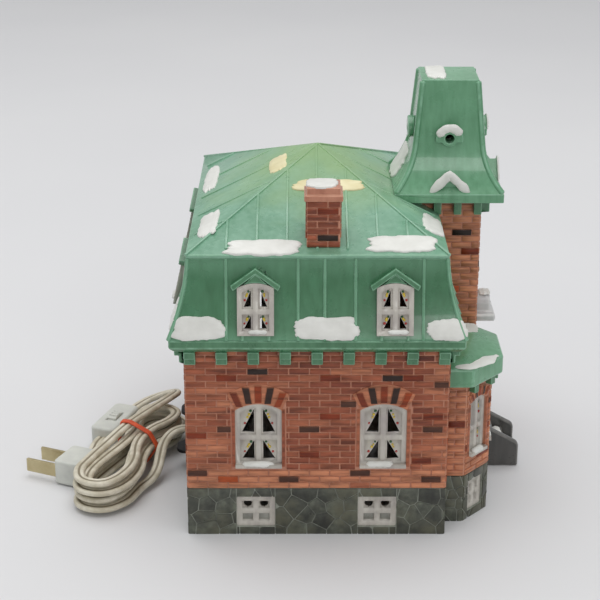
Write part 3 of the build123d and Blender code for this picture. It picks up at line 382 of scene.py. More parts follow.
def spline_points(name, points):
    """Points along one smooth spline that the control points pull into place."""
    curve = bpy.data.curves.new(name, "CURVE")
    curve.dimensions = "3D"
    spline = curve.splines.new("NURBS")
    spline.points.add(len(points) - 1)
    for control, point in zip(spline.points, points):
        control.co = (*point, 1.0)
    spline.order_u = SPLINE_ORDER
    spline.use_endpoint_u = True
    spline.resolution_u = SPLINE_STEPS
    carrier = add_object(name, curve)
    evaluated = carrier.evaluated_get(bpy.context.evaluated_depsgraph_get())
    mesh = bpy.data.meshes.new_from_object(evaluated)
    line = [vertex.co.copy() for vertex in mesh.vertices]
    bpy.data.objects.remove(carrier)
    bpy.data.meshes.remove(mesh)
    return line


main_line = spline_points("cord_line", main_points)
tail_line = spline_points("tail_line", tail_points)

# %% Section of the cord
CORD_WIDTH = 5.2
SECTION_STEPS = 8


def twin_section(width):
    """Outline of two round conductors side by side, with how deep in the groove each point lies."""
    radius = width / 4
    section = []
    for side, first in ((1, -135), (-1, 45)):
        for step in range(SECTION_STEPS + 1):
            angle = math.radians(first + step * 270 / SECTION_STEPS)
            depth = 1.0 if step in (0, SECTION_STEPS) else 0.0
            section.append((side * radius + radius * math.cos(angle), radius * math.sin(angle), depth))
    return section


def cord_ring(line, index, section):
    """Section of the cord at one point of its line, lying flat."""
    before = line[max(index - 1, 0)]
    after = line[min(index + 1, len(line) - 1)]
    ahead = (after - before).normalized()
    across = ahead.cross(UP).normalized()
    over = across.cross(ahead)
    return [line[index] + across * offset + over * height for offset, height, depth in section]


print("points round the cord:", len(twin_section(CORD_WIDTH)))


# %% Meshes from rings of points
def ring_faces(first, rings, sides, closed=False):
    """Faces between rings of points. Open rings get an end face each, closed ones meet again."""
    faces = []
    for ring in range(rings if closed else rings - 1):
        near, far = first + ring * sides, first + (ring + 1) % rings * sides
        for point in range(sides):
            following = (point + 1) % sides
            faces.append((near + point, near + following, far + following, far + point))
    if not closed:
        last = first + (rings - 1) * sides
        faces.append(tuple(first + point for point in reversed(range(sides))))
        faces.append(tuple(last + point for point in range(sides)))
    return faces


def link_mesh(name, vertices, faces, material, smooth=True):
    """New mesh object from its points and faces."""
    mesh = bpy.data.meshes.new(name)
    mesh.from_pydata([tuple(vertex) for vertex in vertices], [], faces)
    mesh.materials.append(material)
    for polygon in mesh.polygons:
        polygon.use_smooth = smooth
    return add_object(name, mesh)


def mend_normals(mesh):
    """Point every face of a closed mesh outwards."""
    work = bmesh.new()
    work.from_mesh(mesh)
    bmesh.ops.recalc_face_normals(work, faces=work.faces)
    work.to_mesh(mesh)
    work.free()


def store(mesh, title, values, domain="FACE", kind="FLOAT"):
    """Keep a value for every face or point of a mesh."""
    key = "vector" if kind == "FLOAT_VECTOR" else "value"
    mesh.attributes.new(title, kind, domain).data.foreach_set(key, values)


print("faces of a closed ring of 12 sections with 8 sides:", len(ring_faces(0, 12, 8, closed=True)))


# %% Twin cord
def twin_cord(name, lines, width, material):
    """Flat twin cord swept along one line after another, with closed ends."""
    section = twin_section(width)
    vertices, faces = [], []
    for line in lines:
        faces += ring_faces(len(vertices), len(line), len(section))
        for index in range(len(line)):
            vertices += cord_ring(line, index, section)
    piece = link_mesh(name, vertices, faces, material)
    groove = [depth for offset, height, depth in section] * (len(vertices) // len(section))
    # The groove value also masks the painted shade in the cord's colour.
    store(piece.data, "groove", groove, "POINT")
    mend_normals(piece.data)
    return piece


def cord_vinyl():
    """Beige vinyl, a little dusty, with painted shade down in the groove."""
    material, tree, shader = start_material("cord_vinyl")
    shade = ramp(tree, noise_field(tree, 160.0), [(0.35, (194, 186, 164)), (0.62, (222, 216, 198))])
    # Painted shade: the colour darkens where a point lies down in the groove between the two conductors.
    depth = ramp(tree, stored(tree, "groove"), [(0.55, 0), (1.0, 1)])
    dress(tree, shader, mix(tree, depth, shade, (132, 122, 100)), (0.38, 0.52), (0.02, 1600.0))
    return material


cord = twin_cord("lamp_cord", (main_line, tail_line), CORD_WIDTH * MM, cord_vinyl())
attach(cord, "house")
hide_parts("cord_lead", "cord_hank", "cord_loop", "cord_tail")
print("cord faces:", len(cord.data.polygons))

# %% [markdown]
# ## Rubber band
#
# A stretched band takes the shortest way round what it holds. A plain ring would float or cut in. The
# shortest way is the convex hull of the cord's sections where the band's plane cuts them, so the band's
# line is worked out from the cord itself.

# %% Way round the bundle
BAND_ROUND = 12
BUNDLE_HALF = 12


def cut_points():
    """Where the cord's outline crosses the middle plane of the band, as places across and heights."""
    found = []
    section = twin_section(CORD_WIDTH * MM)
    for index in range(len(main_line) - 1):
        local = main_line[index] / MM - HANK_CENTRE
        here = local.dot(HANK_AXIS) - WAIST_PLACE
        there = (main_line[index + 1] / MM - HANK_CENTRE).dot(HANK_AXIS) - WAIST_PLACE
        if here * there <= 0 and abs(local.dot(HANK_SIDE)) < BUNDLE_HALF:
            for point in cord_ring(main_line, index, section):
                offset = point / MM - HANK_CENTRE
                found.append((offset.dot(HANK_SIDE), offset.z))
    return found


def convex_hull(points):
    """Corners of the convex hull, in turn."""
    ordered = sorted(set(points))

    def half_hull(run):
        """One side of the hull."""
        kept = []
        for point in run:
            while len(kept) > 1:
                (x1, y1), (x2, y2) = kept[-2:]
                if (x2 - x1) * (point[1] - y1) - (y2 - y1) * (point[0] - x1) > 0:
                    break
                kept.pop()
            kept.append(point)
        return kept[:-1]

    return half_hull(ordered) + half_hull(reversed(ordered))


def band_line(points, gap):
    """Hull moved outwards by a gap, as the hull of a small circle round each corner."""
    grown = []
    for across, height in convex_hull(points):
        for step in range(BAND_ROUND):
            angle = 2 * math.pi * step / BAND_ROUND
            grown.append((across + gap * math.cos(angle), height + gap * math.sin(angle)))
    return [Vector(corner) for corner in convex_hull(grown)]


bundle_outline = band_line(cut_points(), 0.05)
print("corners of the band's line:", len(bundle_outline))

# %% Rubber band
BAND_WIDTH = 3.0
BAND_THICK = 1.1
BAND_LOWEST = 0.3
BAND_SECTION = (
    (-0.5, 0.25), (-0.3, 0.0), (0.3, 0.0), (0.5, 0.25), (0.5, 0.75), (0.3, 1.0), (-0.3, 1.0), (-0.5, 0.75)
)


def band_rubber():
    """Orange-red rubber, dull and a little patchy."""
    material, tree, shader = start_material("band_rubber")
    shade = ramp(tree, noise_field(tree, 220.0), [(0.3, (206, 76, 44)), (0.7, (236, 104, 58))])
    tree.links.new(shade, shader.inputs["Base Color"])
    shader.inputs["Roughness"].default_value = 0.55
    return material


def rubber_band(outline):
    """Flat band with rounded edges, round the waist of the hank."""
    middle = sum(outline, Vector((0, 0))) / len(outline)
    vertices = []
    for corner in outline:
        outward = (corner - middle).normalized()
        for along, rise in BAND_SECTION:
            grown = corner + outward * (rise * BAND_THICK)
            vertices.append(in_hank(WAIST_PLACE + along * BAND_WIDTH, grown.x, max(grown.y, BAND_LOWEST)))
    faces = ring_faces(0, len(outline), len(BAND_SECTION), closed=True)
    piece = link_mesh("rubber_band", vertices, faces, band_rubber())
    mend_normals(piece.data)
    return piece


band = rubber_band(bundle_outline)
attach(band, "house")
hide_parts("hank_band")
print("band points:", len(band.data.vertices))

# %% [markdown]
# ## Softened pieces
#
# Slip-cast ware has no sharp edges: the mould rounds them and the glaze fills every corner. Rounding could
# be faked in the shading, but then outlines stay sharp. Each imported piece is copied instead, its flat
# faces are joined, and a small bevel rounds what is left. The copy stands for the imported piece, which
# stays hidden and keeps its collision.

# %% Settling and shading
SHADE_WEIGHT = 90


def settle(piece):
    """Replace a piece's mesh by what its modifiers make of it."""
    evaluated = piece.evaluated_get(bpy.context.evaluated_depsgraph_get())
    mesh = bpy.data.meshes.new_from_object(evaluated)
    piece.modifiers.clear()
    piece.data = mesh


def smooth_faces(mesh, angle=42):
    """Smooth shading, with creases where faces meet at more than an angle."""
    for polygon in mesh.polygons:
        polygon.use_smooth = True
    mesh.set_sharp_from_angle(angle=math.radians(angle))


def flatten(piece):
    """Let large faces decide the shading, so that flat ones look flat between rounded edges."""
    for polygon in piece.data.polygons:
        polygon.use_smooth = True
    modifier = piece.modifiers.new("face normals", "WEIGHTED_NORMAL")
    modifier.weight = SHADE_WEIGHT


print("weight of large faces in the shading:", SHADE_WEIGHT)

# %% Rounding edges
BEVEL_SLOT = 1


def mark_worn(mesh):
    """Keep the second material of a bevel's own faces as a face attribute, and drop that material."""
    worn = [float(polygon.material_index) for polygon in mesh.polygons]
    for polygon in mesh.polygons:
        polygon.material_index = 0
    while len(mesh.materials) > 1:
        mesh.materials.pop(index=BEVEL_SLOT)
    store(mesh, "worn", worn)


def round_edges(piece, width, segments, material):
    """Bevel a piece. The bevel's faces take a second material slot, so that they can be told apart."""
    mesh = piece.data
    mesh.materials.clear()
    for slot in range(2):
        mesh.materials.append(material)
    for polygon in mesh.polygons:
        polygon.material_index = 0
    bevel = piece.modifiers.new("soft edges", "BEVEL")
    bevel.width = width * MM
    bevel.segments = segments
    bevel.material = BEVEL_SLOT
    return bevel


def soft_finish(piece, width, segments, material, crease, mend=True):
    """Round the edges of a piece that was built from prisms or bars, and shade it."""
    round_edges(piece, width, segments, material)
    settle(piece)
    mark_worn(piece.data)
    if mend:
        mend_normals(piece.data)
    smooth_faces(piece.data, crease)


print("material slot of a bevel's own faces:", BEVEL_SLOT)

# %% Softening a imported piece
MERGE_GAP = 0.000002
FLAT_ANGLE = math.radians(0.8)
EDGE_ANGLE = math.radians(38)


def merged_copy(node, join_flat):
    """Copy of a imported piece's mesh, with its loose triangles merged and its flat faces joined."""
    mesh = nodes[node].data.copy()
    work = bmesh.new()
    work.from_mesh(mesh)
    bmesh.ops.remove_doubles(work, verts=work.verts, dist=MERGE_GAP)
    if join_flat:
        bmesh.ops.dissolve_limit(work, angle_limit=FLAT_ANGLE, verts=work.verts, edges=work.edges)
    work.to_mesh(mesh)
    work.free()
    return mesh


def soften(node, width, material, segments=2):
    """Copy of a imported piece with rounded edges, which stands for it. A width of 0 keeps the edges."""
    mesh = merged_copy(node, width > 0)
    mesh.materials.clear()
    mesh.materials.append(material)
    piece = add_object(node + "_glazed", mesh)
    if width:
        bevel = round_edges(piece, width, segments, material)
        bevel.limit_method = "ANGLE"
        bevel.angle_limit = EDGE_ANGLE
        bevel.use_clamp_overlap = False
        flatten(piece)
        settle(piece)
        mark_worn(piece.data)
    else:
        smooth_faces(piece.data)
    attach(piece, bodies[node])
    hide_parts(node)
    return piece


print("edges are rounded from", round(math.degrees(EDGE_ANGLE)), "degrees")

# %% [markdown]
# ## Green glaze
#
# All the woodwork and roofing is one green glaze. It is darker on the steep mansard and paler along the
# mansard's foot and head, and it lies thin and pale along seams and edges. The lamp's heat has turned the
# roof yellowish round its apex. Painted masks could place both, but a rule is enough: the mansard's colour
# follows the height, and the stain follows the distance from the apex.

# %% Glaze that changes by place
roof_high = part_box("upper_roof")[1]
mansard_low, mansard_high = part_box("mansard_roof")
APEX = Vector((0.8 * MM, 0, roof_high[2]))
STAIN_STOPS = [(0.036, 0.6), (0.062, 0.28), (0.084, 0.0)]
STAIN_UNEVEN, PALE_BAND_UNEVEN = 0.05, 0.012
PALE_BAND_STOPS = [
    (mansard_low[2] + 0.004, 0.6),
    (mansard_low[2] + 0.011, 0.0),
    (mansard_high[2] - 0.002, 0.0),
    (mansard_high[2] + 0.007, 0.5),
]


def heat_stain(tree, colour):
    """Yellowed glaze round the roof's apex, in uneven patches."""
    inputs = {0: own_place(tree), 1: tuple(APEX)}
    distance = put(tree, "ShaderNodeVectorMath", inputs, operation="DISTANCE").outputs["Value"]
    spread = arithmetic(tree, "MULTIPLY", noise_field(tree, 70.0), STAIN_UNEVEN)
    reach = arithmetic(tree, "ADD", distance, spread)
    return mix(tree, ramp(tree, reach, STAIN_STOPS), colour, (150, 178, 112))


def pale_foot_and_head(tree, colour):
    """Paler green along the mansard's foot and head."""
    height = put(tree, "ShaderNodeSeparateXYZ", {"Vector": own_place(tree)}).outputs["Z"]
    uneven = arithmetic(tree, "MULTIPLY", noise_field(tree, 60.0), PALE_BAND_UNEVEN)
    level = arithmetic(tree, "ADD", height, uneven)
    return mix(tree, ramp(tree, level, PALE_BAND_STOPS), colour, (112, 166, 132))


EDGE_GREEN = (128, 178, 146)
mansard_shades = (50, 102, 66), (62, 118, 80), (76, 132, 96)
mansard_green = glaze("mansard_green", *mansard_shades, EDGE_GREEN, change=pale_foot_and_head)
roof_shades = (98, 148, 118), (120, 166, 140), (138, 181, 156)
roof_green = glaze("roof_green", *roof_shades, EDGE_GREEN, change=heat_stain)
tower_green = glaze("tower_green", (80, 136, 98), (100, 156, 118), (118, 172, 136), EDGE_GREEN)
trim_green = glaze("trim_green", (52, 104, 68), (70, 122, 86), (86, 138, 102), EDGE_GREEN)
print("height of the apex:", round(APEX.z, 4), "m")

# %% Green roofs, cornices and brackets
green_pieces = [
    ("mansard_roof", 0.5, mansard_green),
    ("upper_roof", 0.5, roof_green),
    ("tower_roof", 0.3, tower_green),
    ("bay_roof", 0.9, tower_green),
    ("cornice", 0.6, trim_green),
    ("cornice_brackets", 0.45, trim_green),
    ("tower_brackets", 0.4, trim_green),
    ("bay_brackets", 0.4, trim_green),
    ("bullseye_rims", 0.5, tower_green),
    ("tower_gables", 0.35, tower_green),
]
for side in ("near", "far", "rear"):
    for number in (1, 2):
        green_pieces.append((f"{side}_dormer_hood_{number}", 0.5, trim_green))
for node, width, finish in green_pieces:
    soften(node, width, finish)
print("green pieces softened:", len(green_pieces))

# %% [markdown]
# ## Windows, door, steps and floor
#
# The window frames and curtains are one off-white glaze with lilac-grey patches. The steps and
# the hood over the door are grey. The floor inside the base is bare earthenware. The frames are thin, and
# a bevel would break them, so they keep their edges and are only shaded smooth.

# %% Pale and grey glazes
frame_shades = (164, 156, 152), (192, 187, 176), (208, 204, 194), (220, 216, 208)
frame_white = glaze("frame_white", *frame_shades, patch=80.0)
step_grey = glaze("step_grey", (56, 56, 54), (74, 73, 70), (92, 90, 87), (118, 117, 113))
hood_grey = glaze("hood_grey", (170, 170, 171), (192, 192, 193), (210, 210, 209), (222, 222, 220))
door_brown = glaze("door_brown", (52, 30, 20), (74, 42, 28), (96, 58, 40), (124, 84, 62))
bare_clay = glaze("bare_clay", (196, 188, 176), (212, 206, 194), (224, 218, 208), (230, 226, 218))

frame_nodes = [node for node in nodes if "_window_" in node]
frame_nodes += [node for node in nodes if "dormer_frame" in node] + ["basement_windows"]
for node in frame_nodes:
    soften(node, 0, frame_white)
for node, width, finish in (
    ("door", 0.3, door_brown),
    ("door_hood", 0.9, hood_grey),
    ("front_steps", 0.6, step_grey),
    ("step_cheeks", 0.9, step_grey),
    ("base_floor", 0.4, bare_clay),
):
    soften(node, width, finish)
print("window frames softened:", len(frame_nodes))

# %% [markdown]
# ## Brickwork
#
# The mould is scored with running-bond brickwork, and the glaze is wiped so that the joints stay pale.
# Bricks could be a bump in a material, but real ones catch the light along each joint. A short loop
# works out where each course is free of openings. A Geometry Nodes tree then sets one brick on every
# point, with its own size, turn and tone.

# %% A face of wall
WINDOW_BAND = 1.7
ARCH_HEIGHT = 5.8
SILL_GAP = 0.4


class Face:
    """Rectangle of wall: where it starts, which way it runs, looks and leans back, and its openings."""

    def __init__(self, start, along, length, bottom, top, lean=0.0):
        self.start = Vector(start)
        self.along = Vector(along).normalized()
        self.out = self.along.cross(UP)
        self.length = length
        self.bottom = bottom
        self.top = top
        self.lean = lean
        self.holes = []

    def place(self, run, height, proud=0.0):
        """Point on the face, in metres, from millimetres along it, up it and out of it."""
        rise, cosine, sine = height - self.bottom, math.cos(self.lean), math.sin(self.lean)
        foot = self.start + self.along * run + self.out * (proud * cosine - rise * sine)
        return Vector((foot.x, foot.y, self.bottom + rise * cosine + proud * sine)) * MM

    def cut(self, low, high, bottom, top):
        """Leave out a stretch of the face."""
        self.holes.append((low, high, bottom, top))

    def cut_window(self, middle, sill, width, height):
        """Leave out an arched window with its plain band and its arch of bricks."""
        half = width / 2 + WINDOW_BAND
        self.cut(middle - half, middle + half, sill - SILL_GAP, sill + height + ARCH_HEIGHT)


print("room over a window for its arch:", ARCH_HEIGHT, "mm")


# %% Faces of the main block
def corners_of(node):
    """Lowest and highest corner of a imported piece, in millimetres."""
    low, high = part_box(node)
    return Vector(low) / MM, Vector(high) / MM


def block_faces(low, high, bottom, top):
    """Near, far, rear and front face of an upright block, between two heights."""
    size = high - low
    return [
        Face((low.x, low.y, 0), (1, 0, 0), size.x, bottom, top),
        Face((high.x, high.y, 0), (-1, 0, 0), size.x, bottom, top),
        Face((low.x, high.y, 0), (0, -1, 0), size.y, bottom, top),
        Face((high.x, low.y, 0), (0, 1, 0), size.y, bottom, top),
    ]


block_low, block_high = corners_of("house_walls")
base_top, wall_top = block_low.z, block_high.z
wall_faces = block_faces(block_low, block_high, base_top, wall_top)
near_wall, _, rear_wall, front_wall = wall_faces
print("near wall:", round(near_wall.length, 1), "by", round(wall_top - base_top, 1), "mm")

# %% Openings of the four walls
LAMP_RING = 13.0
RING_SLACK = 1.5
BAY_ROOF_HEIGHT = 12.0
tower_low, tower_high = corners_of("tower_shaft")
bay_low, bay_high = corners_of("bay_walls")
tower_half = tower_high.y
bay_near, bay_far, bay_top = bay_low.y, bay_high.y, bay_high.z
window_places = []


def keep_window(face, middle, sill, width, height):
    """Leave a window out of its face, and keep its place for what is laid round it."""
    face.cut_window(middle, sill, width, height)
    window_places.append((face, middle, sill, width, height))


for face, side in zip(wall_faces, ("near", "far", "rear", "front")):
    for node in sorted(name for name in nodes if name.startswith(side + "_window")):
        low, high = corners_of(node)
        middle = ((low + high) / 2 - face.start).dot(face.along)
        keep_window(face, middle, low.z, abs((high - low).dot(face.along)), high.z - low.z)
lamp_middle = (lamp_exit / MM - rear_wall.start).dot(rear_wall.along)
lamp_level = lamp_exit.z / MM
for step in range(math.ceil(LAMP_RING) + 1):
    chord = math.sqrt(LAMP_RING**2 - max(step - RING_SLACK, 0) ** 2)
    rear_wall.cut(lamp_middle - chord, lamp_middle + chord, lamp_level + step, lamp_level + step + 1)
front_middle = front_wall.length / 2
front_wall.cut(front_middle - tower_half, front_middle + tower_half, base_top, wall_top)
front_wall.cut(bay_near - block_low.y, bay_far - block_low.y, base_top, bay_top + BAY_ROOF_HEIGHT)
print("openings on the four walls:", [len(face.holes) for face in wall_faces])

# %% Faces of the bay and the tower
BAY_SIDE = 9.0
BAY_FRONT = 20.0
HOOD_HALF = 8
bay_slant = (bay_far - bay_near - BAY_FRONT) / 2
bay_plan = [
    Vector((block_high.x, bay_near, 0)),
    Vector((block_high.x + BAY_SIDE, bay_near, 0)),
    Vector((bay_high.x, bay_near + bay_slant, 0)),
    Vector((bay_high.x, bay_far - bay_slant, 0)),
    Vector((block_high.x + BAY_SIDE, bay_far, 0)),
]


def bay_sides(bottom, top):
    """Faces of the bay between two heights, from its near side round to the front."""
    pairs = zip(bay_plan, bay_plan[1:])
    return [Face(start, end - start, (end - start).length, bottom, top) for start, end in pairs]


bay_faces = bay_sides(base_top, bay_top)
low, high = corners_of("bay_window_2")
for face in bay_faces[1:]:
    keep_window(face, face.length / 2, low.z, high.y - low.y, high.z - low.z)

tower_front, tower_top = tower_high.x, tower_high.z
tower_side = tower_front - block_high.x
tower_width = tower_high.y - tower_low.y
eave_z, curb_z = mansard_low[2] / MM, mansard_high[2] / MM
far_corner = (tower_front, tower_high.y, 0)
tower_near = Face((tower_low.x, tower_low.y, 0), (1, 0, 0), tower_width, eave_z, tower_top)
tower_near_foot = Face((block_high.x, tower_low.y, 0), (1, 0, 0), tower_side, bay_top, eave_z)
tower_far = Face(far_corner, (-1, 0, 0), tower_width, eave_z, tower_top)
tower_far_foot = Face(far_corner, (-1, 0, 0), tower_side, base_top, eave_z)
tower_face = Face((tower_front, tower_low.y, 0), (0, 1, 0), tower_width, base_top, tower_top)
tower_back = Face((tower_low.x, tower_high.y, 0), (0, -1, 0), tower_width, eave_z, tower_top)
tower_faces = [tower_near, tower_near_foot, tower_far, tower_far_foot, tower_face, tower_back]
low, high = corners_of("tower_window_1")
keep_window(tower_face, tower_width / 2, low.z, high.y - low.y, high.z - low.z)
low, high = corners_of("door")
tower_face.cut_window(tower_width / 2, low.z, high.y - low.y, high.z - low.z)
hood_low, hood_high = corners_of("door_hood")
tower_face.cut(tower_width / 2 - HOOD_HALF, tower_width / 2 + HOOD_HALF, hood_low.z, hood_high.z)
print("windows in brick walls:", len(window_places))

# %% Faces of the chimney
CORBEL = Vector((1.0, 1.0, 0))
CORBEL_HEIGHT = 5.6
STACK_BURIED = 4
stack_low, stack_high = corners_of("chimney")
stack_top = stack_high.z - CORBEL_HEIGHT
stack_near, stack_far, stack_rear, stack_front = block_faces(
    stack_low + CORBEL, stack_high - CORBEL, stack_low.z + STACK_BURIED, stack_top
)
stack_near.bottom = stack_low.z
stack_faces = [stack_near, stack_front, stack_far, stack_rear]
brick_faces = [*wall_faces, *tower_faces, *bay_faces, *stack_faces]
print("brick faces:", len(brick_faces))

# %% [markdown]
# Each brick has a tone from 0 to 1. Low tones are the wiped salmon of the wall, and the high ones are the
# bricks that were picked out by brush: rust, maroon, dark brown and near black. On the near wall these
# stand where they stand on the real house. Elsewhere a seeded draw scatters them.

# %% Tones of the bricks
RUST, MAROON, BROWN, BLACK = 0.70, 0.80, 0.90, 1.0
PAINTED = {
    near_wall: (
        (-25.8, 78.1, BLACK), (-41.3, 74.7, MAROON), (3.1, 75.1, MAROON), (28.6, 74.9, BLACK),
        (45.1, 74.7, MAROON), (54.0, 70.7, BROWN), (14.8, 65.0, BROWN), (4.7, 56.1, MAROON),
        (53.0, 56.7, MAROON), (-37.9, 52.3, BROWN), (46.2, 50.4, BROWN), (-51.6, 49.0, MAROON),
        (-3.5, 49.4, BROWN), (-3.1, 37.7, MAROON), (44.1, 35.6, MAROON), (-50.3, 31.0, BROWN),
        (15.8, 29.5, BROWN), (-36.4, 28.0, RUST), (-11.8, 25.9, BROWN), (53.0, 26.9, BROWN),
    ),
    tower_near: ((66.8, 118.4, BLACK), (69.5, 110.2, MAROON)),
    stack_near: ((2.9, 137.0, BLACK), (6.1, 146.0, MAROON)),
}
PAINTED_SHARE = 0.08
PAINTED_CHOICE = (RUST, MAROON, MAROON, BROWN, BROWN, BLACK)
WALL_TONE, DRIFT, SPREAD, DARKEST_WALL = 0.37, 0.34, 0.07, 0.62
DRIFT_SCALE = (0.05, 0.16)
LOW_COURSES, CORNER_REACH = 10, 14
LOW_PALER, CORNER_PALER, TOWER_PALER, STACK_DARKER = 0.4, 0.14, 0.3, 0.18
draw = random.Random(11)


def brick_tone(face, run, level):
    """Tone of a wall brick: paler low down and near the corners, darker in drifts, and some picked out."""
    drift = noise.noise(Vector((run * DRIFT_SCALE[0], level * DRIFT_SCALE[1], face.length)))
    tone = WALL_TONE + DRIFT * drift + draw.uniform(-SPREAD, SPREAD)
    if level < face.bottom + LOW_COURSES and face.bottom == base_top:
        tone -= LOW_PALER
    if min(run, face.length - run) < CORNER_REACH:
        tone -= CORNER_PALER
    # Tower and bay bricks are paler. On the tower this is partly painted light, lifting the shade that its
    # cap casts.
    if face in tower_faces or face in bay_faces:
        tone -= TOWER_PALER
    if face in stack_faces:
        tone += STACK_DARKER
    picked = draw.random()
    if face not in PAINTED and picked < PAINTED_SHARE:
        return draw.choice(PAINTED_CHOICE)
    return min(max(tone, 0.0), DARKEST_WALL)


print("bricks picked out by hand:", sum(len(places) for places in PAINTED.values()))

# %% Room for the bricks
BRICK = 8.8
SHORTEST = 0.9
LEVEL_WEIGHT = 3
PAINT_COVER = (0.3, 0.1, 0.32)


def free_stretches(face, level):
    """Stretches of a course that no opening interrupts."""
    stretches = [(0.0, face.length)]
    for low, high, bottom, top in face.holes:
        if bottom < level < top:
            kept = []
            for start, end in stretches:
                kept += [(start, min(end, low)), (max(start, high), end)]
            stretches = [(start, end) for start, end in kept if end - start > SHORTEST]
    return stretches


def pick_out(bricks, face):
    """Give the picked-out bricks their tone, and let their paint run over the joints a little."""
    whole = [brick for brick in bricks if brick[2][0] > BRICK / 2]
    for x, level, tone in PAINTED.get(face, ()):
        run = x - face.start.x
        nearest = min(whole, key=lambda brick: abs(brick[0] - run) + LEVEL_WEIGHT * abs(brick[1] - level))
        nearest[3] = tone
    for brick in bricks:
        if brick[3] >= RUST:
            brick[2] = tuple(side + more for side, more in zip(brick[2], PAINT_COVER))


print("stretches of a near course at mid height:", len(free_stretches(near_wall, (base_top + wall_top) / 2)))

# %% Laying the courses
COURSE = 3.0
JOINT = 0.48
BRICK_PROUD = 0.35
BRICK_DEPTH = 1.0
BRICK_UNEVEN = (-0.06, 0.08)


def lay_bricks(face):
    """Centres, heights, sizes and tones of all the bricks of one face."""
    bricks = []
    courses = round((face.top - face.bottom) / COURSE)
    height = (face.top - face.bottom) / courses
    for course in range(courses):
        level = face.bottom + (course + 0.5) * height
        shift = BRICK / 2 if course % 2 else 0.0
        for start, end in free_stretches(face, level):
            place = math.floor((start - shift) / BRICK) * BRICK + shift
            while place < end:
                left, right = max(place, start), min(place + BRICK, end)
                if right - left > SHORTEST:
                    size = (right - left - JOINT, BRICK_DEPTH, height - JOINT)
                    bricks.append([(left + right) / 2, level, size, brick_tone(face, left, level)])
                place += BRICK
    pick_out(bricks, face)
    return bricks


print("courses of the near wall:", round((wall_top - base_top) / COURSE))


# %% A point for every brick
def point_mesh(name, points, values):
    """Mesh of loose points that keep named values."""
    mesh = bpy.data.meshes.new(name)
    mesh.from_pydata([tuple(point) for point in points], [], [])
    for title, kind, numbers in values:
        store(mesh, title, numbers, "POINT", kind)
    return mesh


def brick_points():
    """Mesh of one point per brick, with the brick's size, turn and tone."""
    points, sizes, turns, tones = [], [], [], []
    for face in brick_faces:
        turn = math.atan2(face.along.y, face.along.x)
        for run, level, size, tone in lay_bricks(face):
            uneven = draw.uniform(*BRICK_UNEVEN)
            points.append(face.place(run, level, BRICK_PROUD + uneven - BRICK_DEPTH / 2))
            sizes += [value * MM for value in size]
            turns += [0.0, 0.0, turn]
            tones.append(tone)
    values = (("size", "FLOAT_VECTOR", sizes), ("turn", "FLOAT_VECTOR", turns), ("tone", "FLOAT", tones))
    return point_mesh("brick_points", points, values)


course_points = brick_points()
print("bricks:", len(course_points.vertices))


# %% Parts of a Geometry Nodes tree
def new_tree(title, sizes=()):
    """Empty Geometry Nodes tree with geometry in and out and named sizes."""
    tree = bpy.data.node_groups.new(title, "GeometryNodeTree")
    tree.interface.new_socket("Geometry", in_out="INPUT", socket_type="NodeSocketGeometry")
    for name, value in sizes:
        socket = tree.interface.new_socket(name, in_out="INPUT", socket_type="NodeSocketFloat")
        socket.default_value = value
    tree.interface.new_socket("Geometry", in_out="OUTPUT", socket_type="NodeSocketGeometry")
    return tree, tree.nodes.new("NodeGroupInput"), tree.nodes.new("NodeGroupOutput")


def named(tree, title, kind):
    """A point's named value."""
    inputs = {"Name": title}
    return put(tree, "GeometryNodeInputNamedAttribute", inputs, data_type=kind).outputs["Attribute"]


def made_real(tree, geometry):
    """Make instances real."""
    return put(tree, "GeometryNodeRealizeInstances", {"Geometry": geometry}).outputs["Geometry"]


def finish_tree(tree, end, geometry, material):
    """Close a tree: make the instances real and give them their material."""
    inputs = {"Geometry": made_real(tree, geometry), "Material": material}
    painted = put(tree, "GeometryNodeSetMaterial", inputs)
    tree.links.new(painted.outputs["Geometry"], end.inputs["Geometry"])


def run_tree(name, mesh, tree):
    """New object with what a tree makes of a mesh, as a plain mesh."""
    piece = add_object(name, mesh)
    piece.modifiers.new("tree", "NODES").node_group = tree
    settle(piece)
    return piece


print("values kept by each brick's point:", [value.name for value in course_points.attributes])

# %% Glaze of the bricks
BRICK_STOPS = [
    (0.0, (196, 128, 94)),
    (0.32, (154, 84, 58)),
    (DARKEST_WALL, (116, 56, 40)),
    (RUST, (170, 74, 28)),
    (MAROON, (124, 46, 16)),
    (BROWN, (76, 44, 30)),
    (BLACK, (40, 24, 18)),
]
BRICK_SPECULAR = 0.32


def brick_glaze():
    """Brick colours by tone, brushed along the courses."""
    material, tree, shader = start_material("brick_glaze")
    wall = ramp(tree, stored(tree, "face_tone"), BRICK_STOPS)
    brushed = noise_field(tree, 300.0, (0.18, 0.18, 1.6), 4.0)
    streaks = ramp(tree, brushed, [(0.34, 0.5), (0.5, 0.95), (0.68, 1.34)])
    colour = mix(tree, 1.0, wall, streaks, "MULTIPLY")
    worn = mix(tree, edge_share(tree), colour, (176, 112, 82))
    dress(tree, shader, worn, (0.32, 0.55), (0.04, 1100.0), 0.08)
    shader.inputs["Specular IOR Level"].default_value = BRICK_SPECULAR
    return material


brick_finish = brick_glaze()
print("colours of the bricks:", len(BRICK_STOPS))


